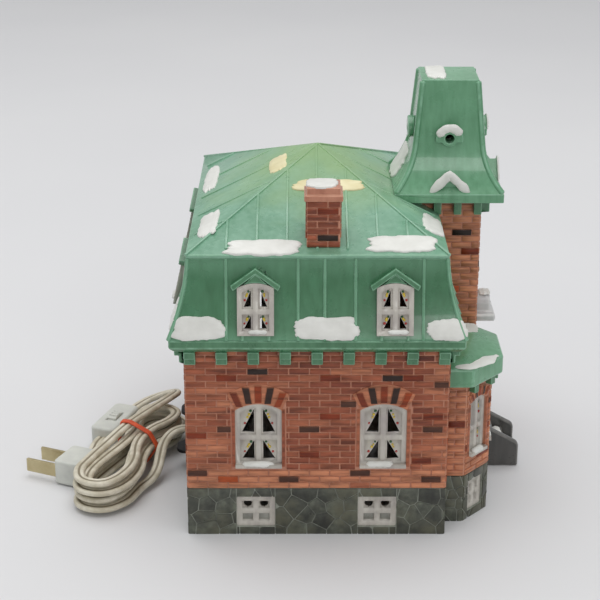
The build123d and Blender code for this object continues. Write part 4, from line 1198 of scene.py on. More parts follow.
# %% A brick on every point
def brick_tree(material):
    """One brick on every point, sized and turned by the point's values."""
    tree, start, end = new_tree("brick_courses")
    cube = put(tree, "GeometryNodeMeshCube", {"Size": (1.0, 1.0, 1.0)})
    turn = put(tree, "FunctionNodeEulerToRotation", {"Euler": named(tree, "turn", "FLOAT_VECTOR")})
    inputs = {
        "Points": start.outputs["Geometry"],
        "Instance": cube.outputs["Mesh"],
        "Rotation": turn.outputs["Rotation"],
        "Scale": named(tree, "size", "FLOAT_VECTOR"),
    }
    bricks = put(tree, "GeometryNodeInstanceOnPoints", inputs).outputs["Instances"]
    tone = named(tree, "tone", "FLOAT")
    inputs = {"Geometry": made_real(tree, bricks), "Name": "face_tone", "Value": tone}
    toned = put(tree, "GeometryNodeStoreNamedAttribute", inputs, data_type="FLOAT", domain="FACE")
    finish_tree(tree, end, toned.outputs["Geometry"], material)
    return tree


bricks = run_tree("brick_courses", course_points, brick_tree(brick_finish))
soft_finish(bricks, 0.16, 1, brick_finish, 50, mend=False)
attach(bricks, "house")
print("brick faces in the mesh:", len(bricks.data.polygons))

# %% Pale joints behind the bricks
joint_shades = (160, 96, 70), (184, 120, 92), (204, 144, 116), (206, 150, 122)
joint_salmon = glaze("joint_salmon", *joint_shades, patch=90.0)
brick_nodes = ("house_walls", "bay_walls", "tower_shaft", "chimney")
for node in brick_nodes:
    soften(node, 0.4, joint_salmon)
print("walls behind the bricks:", len(brick_nodes))

# %% [markdown]
# ## Arches and window bands
#
# Over each wall window stands an arch of five wedge-shaped bricks, painted in turn maroon and black, on a
# pale band. A smooth band also runs up both sides of the frame. Each could be modelled by itself, but the
# arches differ only in size. So all are simple prisms worked out from the window they stand over.

# %% Prisms on a wall
PRISM_SEGMENTS, PRISM_CREASE = 2, 50


class Prisms:
    """Closed prisms on wall faces, gathered into one piece, each with its own tone."""

    def __init__(self):
        self.work = bmesh.new()
        self.tones = []

    def add(self, face, outline, back, front, tone):
        """Prism over an outline, which is given as runs and heights, between two depths."""
        rear = [self.work.verts.new(face.place(run, level, back)) for run, level in outline]
        fore = [self.work.verts.new(face.place(run, level, front)) for run, level in outline]
        self.work.faces.new(list(reversed(rear)))
        self.work.faces.new(fore)
        for index in range(len(outline)):
            following = (index + 1) % len(outline)
            self.work.faces.new((rear[index], rear[following], fore[following], fore[index]))
        self.tones += [tone] * (len(outline) + 2)

    def settle(self, name, material, width):
        """One piece of all the prisms, with softened edges."""
        mesh = bpy.data.meshes.new(name)
        self.work.to_mesh(mesh)
        self.work.free()
        store(mesh, "face_tone", self.tones)
        piece = add_object(name, mesh)
        soft_finish(piece, width, PRISM_SEGMENTS, material, PRISM_CREASE)
        return piece


print("segments round a prism's edge:", PRISM_SEGMENTS)

# %% Wedges of an arch
ARCH_TONES = (0.82, 0.98, 0.78, 0.98, 0.76)
ARCH_STEPS = 16
ARCH_FOOT, ARCH_RISE = 0.115, 0.15
ARCH_SPREAD, ARCH_OUTER, ARCH_CROWN = 0.67, 0.35, 0.25
BACKING_TONE, BACKING_DEPTHS = 0.1, (-0.4, 0.5)
WEDGE_FIRST, WEDGE_PITCH, WEDGE_DEPTHS = -0.8, 0.4, (-0.2, 0.85)
WEDGE_HALF, WEDGE_TAPER = 0.076, 0.006
WEDGE_LIFT, WEDGE_SHORT = 0.3, 0.9


def arch_point(middle, foot, width, across, outside):
    """Point of an arch: across it from -1 to 1, on its inner or its outer curve."""
    crown = 1 - across * across
    if outside:
        return middle + across * width * ARCH_SPREAD, foot + width * (ARCH_OUTER + ARCH_CROWN * crown)
    return middle + across * width / 2, foot + width * ARCH_RISE * crown


def arch_wedges(prisms, face, middle, sill, width, height):
    """Five painted wedge bricks over an arched window, on a pale smooth arch."""
    foot = sill + height - ARCH_FOOT * width
    shares = [-1 + 2 * step / ARCH_STEPS for step in range(ARCH_STEPS + 1)]
    backing = [arch_point(middle, foot, width, share, False) for share in shares]
    backing += [arch_point(middle, foot, width, share, True) for share in reversed(shares)]
    prisms.add(face, backing, *BACKING_DEPTHS, BACKING_TONE)
    for index, tone in enumerate(ARCH_TONES):
        outline = []
        for outside, side in ((False, -1), (False, 1), (True, 1), (True, -1)):
            across = WEDGE_FIRST + WEDGE_PITCH * index
            run, level = arch_point(middle, foot, width, across, outside)
            half = width * (WEDGE_HALF + WEDGE_TAPER * outside)
            outline.append((run + side * half, level + WEDGE_LIFT - WEDGE_SHORT * outside))
        prisms.add(face, outline, *WEDGE_DEPTHS, tone)


print("wedges in an arch:", len(ARCH_TONES))

# %% Arches and bands of the windows
BAND_DEPTHS, BAND_TONES = (-0.4, 0.3), (0.2, 0.4)
BAND_SHORT, BAND_NARROW = 2.0, 0.2


def window_band(prisms, face, middle, sill, width, height):
    """Smooth band round a window: two uprights beside the frame."""
    top = sill + height - BAND_SHORT
    for side in (-1, 1):
        ends = (middle + side * width / 2, middle + side * (width / 2 + WINDOW_BAND - BAND_NARROW))
        left, right = sorted(ends)
        outline = [(left, sill), (right, sill), (right, top), (left, top)]
        prisms.add(face, outline, *BAND_DEPTHS, draw.uniform(*BAND_TONES))


arch_prisms = Prisms()
for place in window_places:
    arch_wedges(arch_prisms, *place)
    window_band(arch_prisms, *place)
arches = arch_prisms.settle("window_arches", brick_finish, 0.25)
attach(arches, "house")
print("windows with arches:", len(window_places))

# %% [markdown]
# ## Stone foundation
#
# The foundation is rubble: uneven stones in rough courses, grey-green, with paler joints. A cell texture
# could draw it flat, but real stones have rounded edges. So points are scattered over each face, every
# stone takes the ground nearest to its own point, and what lies in an opening is cut away. Each outline
# that is left becomes a low prism.

# %% Foundation faces and their openings
BASEMENT_X = (-26.5, 26.5)
BASEMENT_WIDTH, BASEMENT_HEIGHT, BASEMENT_SILL = 16.7, 14.6, 3.6
BAY_BASEMENT_WIDTH = 11.0
BASEMENT_GAP = 0.3
FRONT_WINDOW_Y = 45.0
basement_places = []


def cut_basement(face, middle, width):
    """Leave out a basement window."""
    half = width / 2 + BASEMENT_GAP
    bottom, top = BASEMENT_SILL - BASEMENT_GAP, BASEMENT_SILL + BASEMENT_HEIGHT + BASEMENT_GAP
    face.cut(middle - half, middle + half, bottom, top)
    basement_places.append((face, middle, width))


near_base, far_base, rear_base, front_base = block_faces(block_low, block_high, 0, base_top)
for x in BASEMENT_X:
    cut_basement(near_base, x - block_low.x, BASEMENT_WIDTH)
    cut_basement(far_base, block_high.x - x, BASEMENT_WIDTH)
cut_basement(front_base, FRONT_WINDOW_Y - block_low.y, BASEMENT_WIDTH)
rear_base.cut(lamp_middle - LAMP_RING, lamp_middle + LAMP_RING, lamp_level - LAMP_RING, base_top)
front_base.cut(bay_near - block_low.y, tower_half - block_low.y, 0, base_top)
bay_bases = bay_sides(0, base_top)
for face in bay_bases[1:]:
    cut_basement(face, face.length / 2, BAY_BASEMENT_WIDTH)
tower_bases = [
    Face((tower_front, tower_low.y, 0), (0, 1, 0), tower_width, 0, base_top),
    Face(far_corner, (-1, 0, 0), tower_side, 0, base_top),
]
base_faces = [near_base, far_base, rear_base, front_base, *tower_bases, *bay_bases]
print("foundation faces:", len(base_faces), "basement windows:", len(basement_places))

# %% Cutting outlines
STONE_JOINT = 0.46
SMALLEST_STONE = 1.5


def clip(outline, point, away):
    """Part of an outline that lies behind a line through a point, on the side that the arrow leaves."""
    kept = []
    for index, end in enumerate(outline):
        start = outline[index - 1]
        before, after = (start - point).dot(away), (end - point).dot(away)
        if before * after < 0:
            kept.append(start + (end - start) * (before / (before - after)))
        if after <= 0:
            kept.append(end)
    return kept


def area(outline):
    """Area of an outline."""
    sides = zip(outline, outline[1:] + outline[:1])
    return abs(sum(start.x * end.y - end.x * start.y for start, end in sides)) / 2


def around(outline, hole):
    """What is left of an outline on the four sides of an opening."""
    low, high, bottom, top = hole
    left, right = Vector((1, 0)), Vector((-1, 0))
    over = clip(outline, Vector((low + STONE_JOINT, 0)), right)
    over = clip(over, Vector((high - STONE_JOINT, 0)), left)
    parts = [
        clip(outline, Vector((low, 0)), left),
        clip(outline, Vector((high, 0)), right),
        clip(over, Vector((0, bottom)), Vector((0, 1))),
        clip(over, Vector((0, top)), Vector((0, -1))),
    ]
    return [part for part in parts if len(part) > 2 and area(part) > SMALLEST_STONE]


unit_square = [Vector(corner) for corner in ((0, 0), (1, 0), (1, 1), (0, 1))]
print("half of a unit square:", area(clip(unit_square, Vector((0.5, 0)), Vector((1, 0)))))

# %% Outlines of the stones
STONE_PITCH = (9.4, 5.8)
STONE_LOOSE = (0.34, 0.3)
STONE_REACH = 30
SIDE_GAP, TOP_GAP = 0.15, 0.2


def scatter_seeds(face):
    """Middles of the stones: a loose grid in rough courses."""
    seeds = []
    rows = max(2, round((face.top - face.bottom) / STONE_PITCH[1]))
    columns = max(2, round(face.length / STONE_PITCH[0]))
    for row in range(rows):
        for column in range(columns + 1):
            across = column + 0.5 * (row % 2) + draw.uniform(-STONE_LOOSE[0], STONE_LOOSE[0])
            up = row + 0.5 + draw.uniform(-STONE_LOOSE[1], STONE_LOOSE[1])
            level = face.bottom + up * (face.top - face.bottom) / rows
            seeds.append(Vector((across * face.length / columns, level)))
    return seeds


def stone_cells(face):
    """Outlines of a face's stones: each takes the ground that is nearest to its own middle."""
    seeds = scatter_seeds(face)
    right, top = face.length - SIDE_GAP, face.top - TOP_GAP
    corners = ((SIDE_GAP, face.bottom), (right, face.bottom), (right, top), (SIDE_GAP, top))
    cells = []
    for seed in seeds:
        outline = [Vector(corner) for corner in corners]
        for other in seeds:
            if other is not seed and (other - seed).length < STONE_REACH and outline:
                away = (other - seed).normalized()
                outline = clip(outline, (seed + other) / 2 - away * STONE_JOINT / 2, away)
        parts = [outline] if len(outline) > 2 else []
        for hole in face.holes:
            parts = [piece for part in parts for piece in around(part, hole)]
        cells += parts
    return cells


print("faces to be covered with stones:", len(base_faces))

# %% Stones
STONE_BACK, STONE_FRONT = -0.5, (0.15, 0.35)


def stone_glaze():
    """Grey-green rubble, each stone with its own tone, wiped paler on the edges."""
    material, tree, shader = start_material("stone_glaze")
    tones = [(0.0, (44, 46, 38)), (0.5, (62, 65, 55)), (1.0, (80, 84, 72))]
    stone = ramp(tree, stored(tree, "face_tone"), tones)
    mottled = noise_field(tree, 190.0, detail=6.0, roughness=0.65)
    patches = ramp(tree, mottled, [(0.34, 0.42), (0.5, 0.98), (0.68, 1.95)])
    colour = mix(tree, 1.0, stone, patches, "MULTIPLY")
    drifts = ramp(tree, noise_field(tree, 75.0, detail=4.0), [(0.45, 0), (0.68, 0.75)])
    stained = mix(tree, drifts, colour, (94, 94, 74))
    worn = mix(tree, edge_share(tree), stained, (116, 120, 110))
    dress(tree, shader, worn, (0.26, 0.48), (0.08, 700.0), 0.3)
    return material


stone_prisms = Prisms()
for face in base_faces:
    for outline in stone_cells(face):
        stone_prisms.add(face, outline, STONE_BACK, draw.uniform(*STONE_FRONT), draw.random())
stones = stone_prisms.settle("foundation_stones", stone_glaze(), 0.3)
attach(stones, "house")
joint_shades = (78, 81, 72), (128, 132, 120), (160, 164, 152), (138, 142, 130)
joint_grey = glaze("joint_grey", *joint_shades, patch=120.0)
for node in ("foundation", "bay_foundation", "tower_foundation"):
    soften(node, 0.8, joint_grey)
print("stone faces in the mesh:", len(stones.data.polygons))

# %% [markdown]
# The lower panes of the basement windows are painted grey. Paint in the frame's own material would run over
# its bars, so each pane is a thin plate set back in its opening.

# %% Painted lower panes of the basement windows
BASEMENT_BAR = 2.4
PANE_BACK, PANE_FRONT, PANE_GAP = -2.6, -2.32, 0.15
pane_shades = (124, 124, 116), (150, 150, 142), (170, 170, 162), (176, 176, 168)
pane_grey = glaze("pane_grey", *pane_shades, patch=200.0)
pane_prisms = Prisms()
pane_foot = BASEMENT_SILL + BASEMENT_BAR
pane_rise = (BASEMENT_HEIGHT - 3 * BASEMENT_BAR) / 2
bottom, top = pane_foot + PANE_GAP, pane_foot + pane_rise - PANE_GAP
for face, middle, width in basement_places:
    light = (width - 3 * BASEMENT_BAR) / 2
    for start in (middle - BASEMENT_BAR / 2 - light, middle + BASEMENT_BAR / 2):
        left, right = start + PANE_GAP, start + light - PANE_GAP
        corners = [(left, bottom), (right, bottom), (right, top), (left, top)]
        pane_prisms.add(face, corners, PANE_BACK, PANE_FRONT, 0.5)
panes = pane_prisms.settle("basement_panes", pane_grey, 0.1)
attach(panes, "house")
print("painted panes:", 2 * len(basement_places))

# %% [markdown]
# ## Roof seams
#
# Raised seams run down both roofs, and a thicker roll covers each hip. They could be modelled one by one,
# but all follow lines on the roof's surface. So the surfaces are written as short rules, and one Geometry
# Nodes tree sweeps a soft square along any set of lines.

# %% Surfaces of the two roofs
MANSARD_SAG = 1.6
CURB_INSET = 2.3
CURB_BAND = 1.6
CURB_LIP = 0.8
EAVE_X, EAVE_Y = mansard_high[0] / MM, mansard_high[1] / MM
CURB_X, CURB_Y = block_high.x - CURB_INSET, block_high.y - CURB_INSET
ROOF_X, ROOF_Y = CURB_X + CURB_LIP, CURB_Y + CURB_LIP
ROOF_FOOT = curb_z + CURB_BAND
ROOF_RISE = roof_high[2] / MM - ROOF_FOOT
SLOPES = ("near", "far", "rear", "front")


def bell_half(eave, curb, level):
    """Half width of the bell-cast mansard at a height: an arc through eave, belly and curb."""
    share = (level - eave_z) / (curb_z - eave_z)
    straight = eave + (curb - eave) * share
    return straight - 4 * MANSARD_SAG * share * (1 - share)


def slope_point(slope, along, half_x, half_y, level):
    """Point of one slope of a roof, at a height where the roof has these half widths."""
    if slope in ("near", "far"):
        return Vector((along, half_y if slope == "far" else -half_y, level))
    return Vector((half_x if slope == "front" else -half_x, along, level))


def roof_point(slope, along, share):
    """Point of the upper roof: a slope's name, a place along its foot and the share of the way up."""
    left = 1 - share
    return slope_point(slope, along, ROOF_X * left, ROOF_Y * left, ROOF_FOOT + ROOF_RISE * share)


def mansard_halves(level):
    """Half widths of the mansard at a height, to the front and to the side."""
    return bell_half(EAVE_X, CURB_X, level), bell_half(EAVE_Y, CURB_Y, level)


def mansard_point(slope, along, level):
    """Point of the mansard: a slope's name, a place along it and a height."""
    return slope_point(slope, along, *mansard_halves(level), level)


print("rise of the upper roof:", round(ROOF_RISE, 1), "mm")

# %% Surface of the tower's cap
CAP_TOP_HALF = 12.5
CAP_FOOT = tower_top + 3.9
CAP_WAIST = CAP_FOOT + 19.7
CAP_WAIST_HALF = tower_half + 0.2
TOWER_X = (tower_low.x + tower_front) / 2
cap_low, cap_high = corners_of("tower_roof")
CAP_TOP = cap_high.z
CAP_FOOT_HALF = (cap_high.y - cap_low.y) / 2


def cap_half(level):
    """Half width of the tower's cap: straight at the top, then an arc that flares to the foot."""
    if level >= CAP_WAIST:
        share = (level - CAP_WAIST) / (CAP_TOP - CAP_WAIST)
        return CAP_WAIST_HALF + (CAP_TOP_HALF - CAP_WAIST_HALF) * share
    down = Vector((CAP_WAIST_HALF - CAP_TOP_HALF, CAP_WAIST - CAP_TOP)).normalized()
    out = Vector((-down.y, down.x))
    chord = Vector((CAP_FOOT_HALF - CAP_WAIST_HALF, CAP_FOOT - CAP_WAIST))
    radius = chord.dot(chord) / (2 * chord.dot(out))
    middle = Vector((CAP_WAIST_HALF, CAP_WAIST)) + out * radius
    return middle.x - math.sqrt(radius**2 - (level - middle.y) ** 2)


print("half width of the cap at its waist:", round(cap_half(CAP_WAIST), 1), "mm")

# %% Faces of the dormers
DORMER_X = (-25.6, 32.2)
REAR_DORMER_Y = (-36.0, 36.0)
DORMER_SILL = eave_z + 2.5
DORMER_WIDTH, DORMER_HEIGHT, DORMER_STAND = 15.3, 22.0, 0.5
DORMER_LEAN = 0.9 * math.atan2(EAVE_X - CURB_X, curb_z - eave_z)


def dormer_face(middle, along):
    """Leaning face of a dormer, from the middle of its foot and the way it runs."""
    start = Vector(middle) - Vector(along) * DORMER_WIDTH / 2
    return Face(start, along, DORMER_WIDTH, DORMER_SILL, DORMER_SILL + DORMER_HEIGHT, DORMER_LEAN)


dormer_faces = [dormer_face((x, -EAVE_Y - DORMER_STAND, 0), (1, 0, 0)) for x in DORMER_X]
dormer_faces += [dormer_face((x, EAVE_Y + DORMER_STAND, 0), (-1, 0, 0)) for x in DORMER_X]
dormer_faces += [dormer_face((-EAVE_X - DORMER_STAND, y, 0), (0, -1, 0)) for y in REAR_DORMER_Y]
print("dormers lean by", round(math.degrees(DORMER_LEAN), 1), "degrees")

# %% Seams of the mansard
SEAM_STEPS = 10
NEAR_SEAMS = (-37.8, -8.0, 3.1, 15.9, 44.0)
REAR_SEAMS = (-62.0, -50.0, -22.0, -11.0, 0.0, 11.0, 22.0, 50.0, 62.0)
FRONT_SEAMS = (-62.0, -50.0, -38.0, -26.0, 26.0, 38.0, 50.0, 62.0)
SHORT_SEAM = 5.5
seam_lines = []


def levels_between(low, high, steps=SEAM_STEPS):
    """Even heights from one to another."""
    return [low + (high - low) * step / steps for step in range(steps + 1)]


def mansard_seam(slope, along, high=curb_z):
    """One seam up the mansard from its foot."""
    seam_lines.append([mansard_point(slope, along, level) for level in levels_between(eave_z, high)])


for slope, places in zip(SLOPES, (NEAR_SEAMS, NEAR_SEAMS, REAR_SEAMS, FRONT_SEAMS)):
    for along in places:
        mansard_seam(slope, along)
for slope in ("near", "far"):
    for x in DORMER_X:
        for side in (-1, 1):
            mansard_seam(slope, x + side * SHORT_SEAM, DORMER_SILL + 1)
print("mansard seams:", len(seam_lines))

# %% Hips, rolls and upper seams
ROOF_SEAM_PITCH = 12.6
SHORTEST_SEAM = 0.12
SEAM_FOOT, SEAM_END = 0.05, 0.01
ROLL_STEPS = 16
ROLL_TOP, ROLL_SUNK = 0.6, 0.7
hip_lines, roll_lines, upper_lines = [], [], []
for sign_x, sign_y in ((-1, -1), (-1, 1), (1, -1), (1, 1)):
    hip = []
    for level in levels_between(eave_z, curb_z):
        half_x, half_y = mansard_halves(level)
        hip.append(Vector((sign_x * half_x, sign_y * half_y, level)))
    hip_lines.append(hip)
    upper_lines.append([Vector((sign_x * ROOF_X, sign_y * ROOF_Y, ROOF_FOOT)), APEX / MM])
    roll = []
    for level in levels_between(CAP_FOOT, CAP_TOP - ROLL_TOP, ROLL_STEPS):
        reach = cap_half(level) - ROLL_SUNK
        roll.append(Vector((TOWER_X + sign_x * reach, sign_y * reach, level)))
    roll_lines.append(roll)
for slope in SLOPES:
    half, pitch = (ROOF_X, ROOF_SEAM_PITCH) if slope in ("near", "far") else (ROOF_Y, 2 * ROOF_SEAM_PITCH)
    count = int(half // pitch)
    for step in range(-count, count + 1):
        along = step * pitch
        end = 1 - abs(along) / half
        if end > SHORTEST_SEAM:
            ends = (SEAM_FOOT, end - SEAM_END)
            upper_lines.append([roof_point(slope, along, share) for share in ends])
print("upper seams and hips:", len(upper_lines))


# %% Sweeping the seams
def line_mesh(name, lines):
    """Mesh of open lines, given in millimetres, for a tree to sweep along."""
    vertices, edges = [], []
    for line in lines:
        first = len(vertices)
        vertices += [tuple(point * MM) for point in line]
        edges += [(index, index + 1) for index in range(first, len(vertices) - 1)]
    mesh = bpy.data.meshes.new(name)
    mesh.from_pydata(vertices, edges, [])
    return mesh


def seam_tree(material, width):
    """Sweep a soft square along every line."""
    tree, start, end = new_tree("roof_seams", (("Width", width),))
    curve = put(tree, "GeometryNodeMeshToCurve", {"Mesh": start.outputs["Geometry"]})
    inputs = {"Width": start.outputs["Width"], "Height": start.outputs["Width"]}
    square = put(tree, "GeometryNodeCurvePrimitiveQuadrilateral", inputs)
    inputs = {"Curve": curve.outputs["Curve"], "Profile Curve": square.outputs["Curve"], "Fill Caps": True}
    sweep = put(tree, "GeometryNodeCurveToMesh", inputs)
    finish_tree(tree, end, sweep.outputs["Mesh"], material)
    return tree


def sweep_lines(name, lines, width, material, soft):
    """Soft bars along a set of lines, as one piece."""
    piece = run_tree(name, line_mesh(name, lines), seam_tree(material, width * MM))
    soft_finish(piece, soft, 2, material, 60)
    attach(piece, "house")
    return piece


seam_green = glaze("seam_green", (82, 136, 100), (102, 154, 120), (120, 170, 138), EDGE_GREEN)
for name, lines, width, finish, soft in (
    ("roof_seams", seam_lines, 1.3, seam_green, 0.35),
    ("roof_hips", hip_lines, 1.6, seam_green, 0.45),
    ("upper_roof_seams", upper_lines, 1.2, roof_green, 0.35),
    ("tower_rolls", roll_lines, 2.6, tower_green, 0.8),
):
    bars = sweep_lines(name, lines, width, finish, soft)
    print("faces of", name + ":", len(bars.data.polygons))

# %% [markdown]
# ## Painted snow
#
# The snow is thick white paint, put on with a loaded brush after the glaze: flat patches with ragged,
# rounded edges, and short strokes along ledges. A white mask in the roof's material would have no
# thickness. So a patch is a stack of rings on a roof's surface, each a little smaller and higher than the
# one below, and a stroke is a flattened sweep. Patches that were fired too hot have turned cream.

# %% Patches of paint
SNOW_ANGLES = 56
SNOW_RINGS = ((1.0, -0.3), (1.0, 0.3), (0.97, 0.75), (0.91, 1.0), (0.5, 1.05))
SNOW_RAGGED = ((0.16, 1.6), (0.12, 5))
SNOW_THICK = 0.8
HOUSE_MIDDLE = Vector((0, 0, 90))
TOWER_MIDDLE = Vector((TOWER_X, 0, CAP_WAIST))
snow_vertices, snow_faces, snow_tones = [], [], []


def skin_rings(first, rings, sides, tone):
    """Join the rings of points that were added last into a closed skin."""
    faces = ring_faces(first, rings, sides)
    snow_faces.extend(faces)
    snow_tones.extend([tone] * len(faces))


def lie_on(surface, across, up, inside):
    """Point of a surface, in millimetres, and the way it faces, away from a point inside."""
    here = surface(across, up)
    facing = (surface(across + 0.1, up) - here).cross(surface(across, up + 0.1) - here).normalized()
    return here, facing if facing.dot(here - inside) > 0 else -facing


def snow_patch(surface, middle, half, tone=0.0, inside=HOUSE_MIDDLE):
    """Ragged patch of thick paint on a surface."""
    seed = draw.uniform(0, 50)
    first = len(snow_vertices)
    for shrink, rise in SNOW_RINGS:
        for step in range(SNOW_ANGLES):
            angle = 2 * math.pi * step / SNOW_ANGLES
            cosine, sine = math.cos(angle), math.sin(angle)
            ragged = 1
            for depth, pitch in SNOW_RAGGED:
                ragged += depth * noise.noise(Vector((pitch * cosine, pitch * sine, seed)))
            reach = shrink * ragged * (cosine**4 + sine**4) ** -0.25
            across, up = middle[0] + half[0] * cosine * reach, middle[1] + half[1] * sine * reach
            place, facing = lie_on(surface, across, up, inside)
            snow_vertices.append((place + facing * (SNOW_THICK * rise)) * MM)
    skin_rings(first, len(SNOW_RINGS), SNOW_ANGLES, tone)


print("points of one patch:", SNOW_ANGLES * len(SNOW_RINGS))

# %% Strokes of the brush
STROKE_SIDES = 12
STROKE_UNDER = 0.4
STROKE_UNEVEN, STROKE_PITCH = 0.3, 6
THINNEST = 0.3


def snow_stroke(points, facing, width, thick, blunt=9):
    """Stroke of thick white paint along a line, thinner towards its ends."""
    seed = draw.uniform(0, 50)
    first = len(snow_vertices)
    last = len(points) - 1
    for index, point in enumerate(points):
        ahead = (points[min(index + 1, last)] - points[max(index - 1, 0)]).normalized()
        side = ahead.cross(facing).normalized()
        share = index / last
        uneven = 1 + STROKE_UNEVEN * noise.noise(Vector((STROKE_PITCH * share, seed, 0)))
        swell = max(THINNEST, 1 - abs(2 * share - 1) ** blunt) * uneven
        for step in range(STROKE_SIDES):
            angle = 2 * math.pi * step / STROKE_SIDES
            rise = math.sin(angle) * thick * (1.0 if math.sin(angle) > 0 else STROKE_UNDER)
            offset = side * (math.cos(angle) * width / 2) + facing * rise
            snow_vertices.append((point + offset * swell) * MM)
    skin_rings(first, len(points), STROKE_SIDES, 0.0)


def line_of(start, end, count=14):
    """Points in a straight line."""
    start, end = Vector(start), Vector(end)
    return [start.lerp(end, step / (count - 1)) for step in range(count)]


print("points along a straight stroke:", len(line_of((0, 0, 0), (1, 0, 0))))


# %% Surfaces that carry snow
def on_roof(slope):
    """Surface of one slope of the upper roof: a place along its foot and a distance up it."""
    length = math.hypot(ROOF_Y if slope in ("near", "far") else ROOF_X, ROOF_RISE)
    return lambda across, up: roof_point(slope, across, up / length)


def on_mansard(slope):
    """Surface of one slope of the mansard: a place along it and a height."""
    return lambda across, up: mansard_point(slope, across, up)


def on_level(level):
    """Level surface at a height."""
    return lambda across, up: Vector((across, up, level))


def cap_rear(across, up):
    """Rear side of the tower's cap."""
    return Vector((TOWER_X - cap_half(up), across, up))


print("a place on the near slope:", [round(value, 1) for value in on_roof("near")(0, 10)])

# %% Patches on the roofs
CREAM = 1.0
ROOF_SNOW = (
    ("near", (-22.4, 4.6), (15.4, 4.8), 0.0),
    ("near", (35.2, 7.0), (14.0, 5.2), 0.0),
    ("near", (5.0, 46.3), (15.4, 3.9), CREAM),
    ("rear", (24.0, 7.0), (18.0, 3.6), 0.0),
    ("rear", (-45.0, 9.5), (15.5, 4.6), 0.0),
    ("rear", (-4.0, 42.0), (11.5, 4.4), CREAM),
    ("front", (-41.0, 5.4), (11.5, 4.8), 0.0),
    ("far", (-18.0, 5.0), (14.0, 4.8), 0.0),
    ("far", (30.0, 7.0), (13.0, 5.0), 0.0),
)
MANSARD_SNOW = (
    ("near", (-49.3, 99.2), (10.6, 4.6)),
    ("near", (4.2, 99.4), (12.8, 4.8)),
    ("near", (54.2, 98.8), (8.4, 4.3)),
    ("far", (-48.0, 99.2), (10.6, 4.6)),
    ("far", (6.0, 99.4), (12.0, 4.8)),
    ("far", (51.0, 98.8), (9.0, 4.3)),
    ("rear", (-60.0, 99.0), (12.0, 4.6)),
    ("rear", (4.0, 99.4), (13.0, 4.8)),
    ("rear", (60.0, 99.0), (11.0, 4.4)),
)
for slope, middle, half, tone in ROOF_SNOW:
    snow_patch(on_roof(slope), middle, half, tone)
for slope, middle, half in MANSARD_SNOW:
    snow_patch(on_mansard(slope), middle, half)
snow_patch(on_level(CAP_TOP), (52.6, 1.0), (4.4, 11.5), inside=TOWER_MIDDLE)
snow_patch(cap_rear, (9.0, 147.0), (10.5, 7.0), inside=TOWER_MIDDLE)
stack_middle = (stack_low + stack_high) / 2 - Vector((0.6, 0, 0))
stack_half = (stack_high - stack_low) / 2 - CORBEL - Vector((0.8, 0.4, 0))
snow_patch(on_level(stack_high.z), stack_middle, stack_half)
print("snow faces on the roofs:", len(snow_faces))

# %% Strokes on the tower's hoods and gables
BULLSEYE_Z = CAP_WAIST + 3.6
BULLSEYE_OUT = CAP_WAIST_HALF + 2.2
BULLSEYE_HOOD = 4.8
HOOD_STEPS = 20
GABLE_HALF, GABLE_HEIGHT = 9.5, 9.6
GABLE_OUT = CAP_FOOT_HALF - 1.0
tower_axis = Vector((TOWER_X, 0, 0))
hood_angles = [math.radians(10 + 150 * step / HOOD_STEPS) for step in range(HOOD_STEPS + 1)]
for out, along in (((0, -1, 0), (1, 0, 0)), ((0, 1, 0), (-1, 0, 0)), ((1, 0, 0), (0, 1, 0))):
    out, along = Vector(out), Vector(along)
    eye = tower_axis + out * BULLSEYE_OUT + UP * BULLSEYE_Z
    arc = [eye + (UP * math.sin(angle) - along * math.cos(angle)) * BULLSEYE_HOOD for angle in hood_angles]
    snow_stroke(arc, out, 4.2, 0.9)
    foot = tower_axis + out * GABLE_OUT + UP * CAP_FOOT
    peak = foot + UP * (GABLE_HEIGHT - 0.8)
    left = line_of(foot - along * (GABLE_HALF - 1.2) + UP * 0.6, peak, 10)
    right = line_of(peak, foot + along * (GABLE_HALF - 0.6) + UP * 0.4, 10)
    snow_stroke(left + right[1:], out, 4.0, 0.9)
print("snow faces with the tower:", len(snow_faces))

# %% Strokes on sills
SILL_HEIGHT = 1.6
SILL_START, SILL_END = 0.36, (0.2, 0.34)
DORMER_START, DORMER_END = 0.3, (0.8, 0.92)


def sill_stroke(face, ends, sill, proud, width, thick):
    """Stroke of snow along a window's sill."""
    start, end = (face.place(run, sill + SILL_HEIGHT, proud) / MM for run in ends)
    snow_stroke(line_of(start, end), face.out + UP, width, thick)


for face, middle, sill, width, height in window_places:
    ends = (middle - width * SILL_START, middle + width * draw.uniform(*SILL_END))
    sill_stroke(face, ends, sill, 0.7, 3.0, 0.9)
for face in dormer_faces:
    ends = (DORMER_WIDTH * DORMER_START, DORMER_WIDTH * draw.uniform(*DORMER_END))
    sill_stroke(face, ends, face.bottom, 0.1, 2.0, 0.7)
print("snow faces with the sills:", len(snow_faces))

# %% Snow on the bay's roof, the hood and the steps
BAY_LEDGE = bay_top + 8.5
BAY_OVERHANG = 4.6
BAY_EDGE = 2.6
STEP_COUNT, STEP_SNOW = 4, (0.7, 0.92)
near_edge = bay_near - BAY_OVERHANG + BAY_EDGE
front_edge = corners_of("bay_roof")[1].x - BAY_EDGE
ledge = BAY_LEDGE + 0.5
ledge_start = Vector((block_high.x + 1.5, near_edge + 0.6, ledge))
ledge_turn = Vector((block_high.x + BAY_SIDE + 1.0, near_edge + 1.6, ledge))
ledge_end = Vector((front_edge - 0.6, bay_near + bay_slant - 3.0, ledge))
wedge = line_of(ledge_start, ledge_turn, 8) + line_of(ledge_turn, ledge_end, 12)[1:]
snow_stroke(wedge, UP, 9.6, 1.0, blunt=3)
snow_patch(on_level(BAY_LEDGE + 3.3), (68.0, -27.5), (4.4, 5.2))
hood_middle = (hood_low.y + hood_high.y) / 2
hood_ridge = hood_high.z - 0.3
hood_ends = ((hood_low.x + 2, hood_middle, hood_ridge), (hood_high.x - 1.6, hood_middle, hood_ridge))
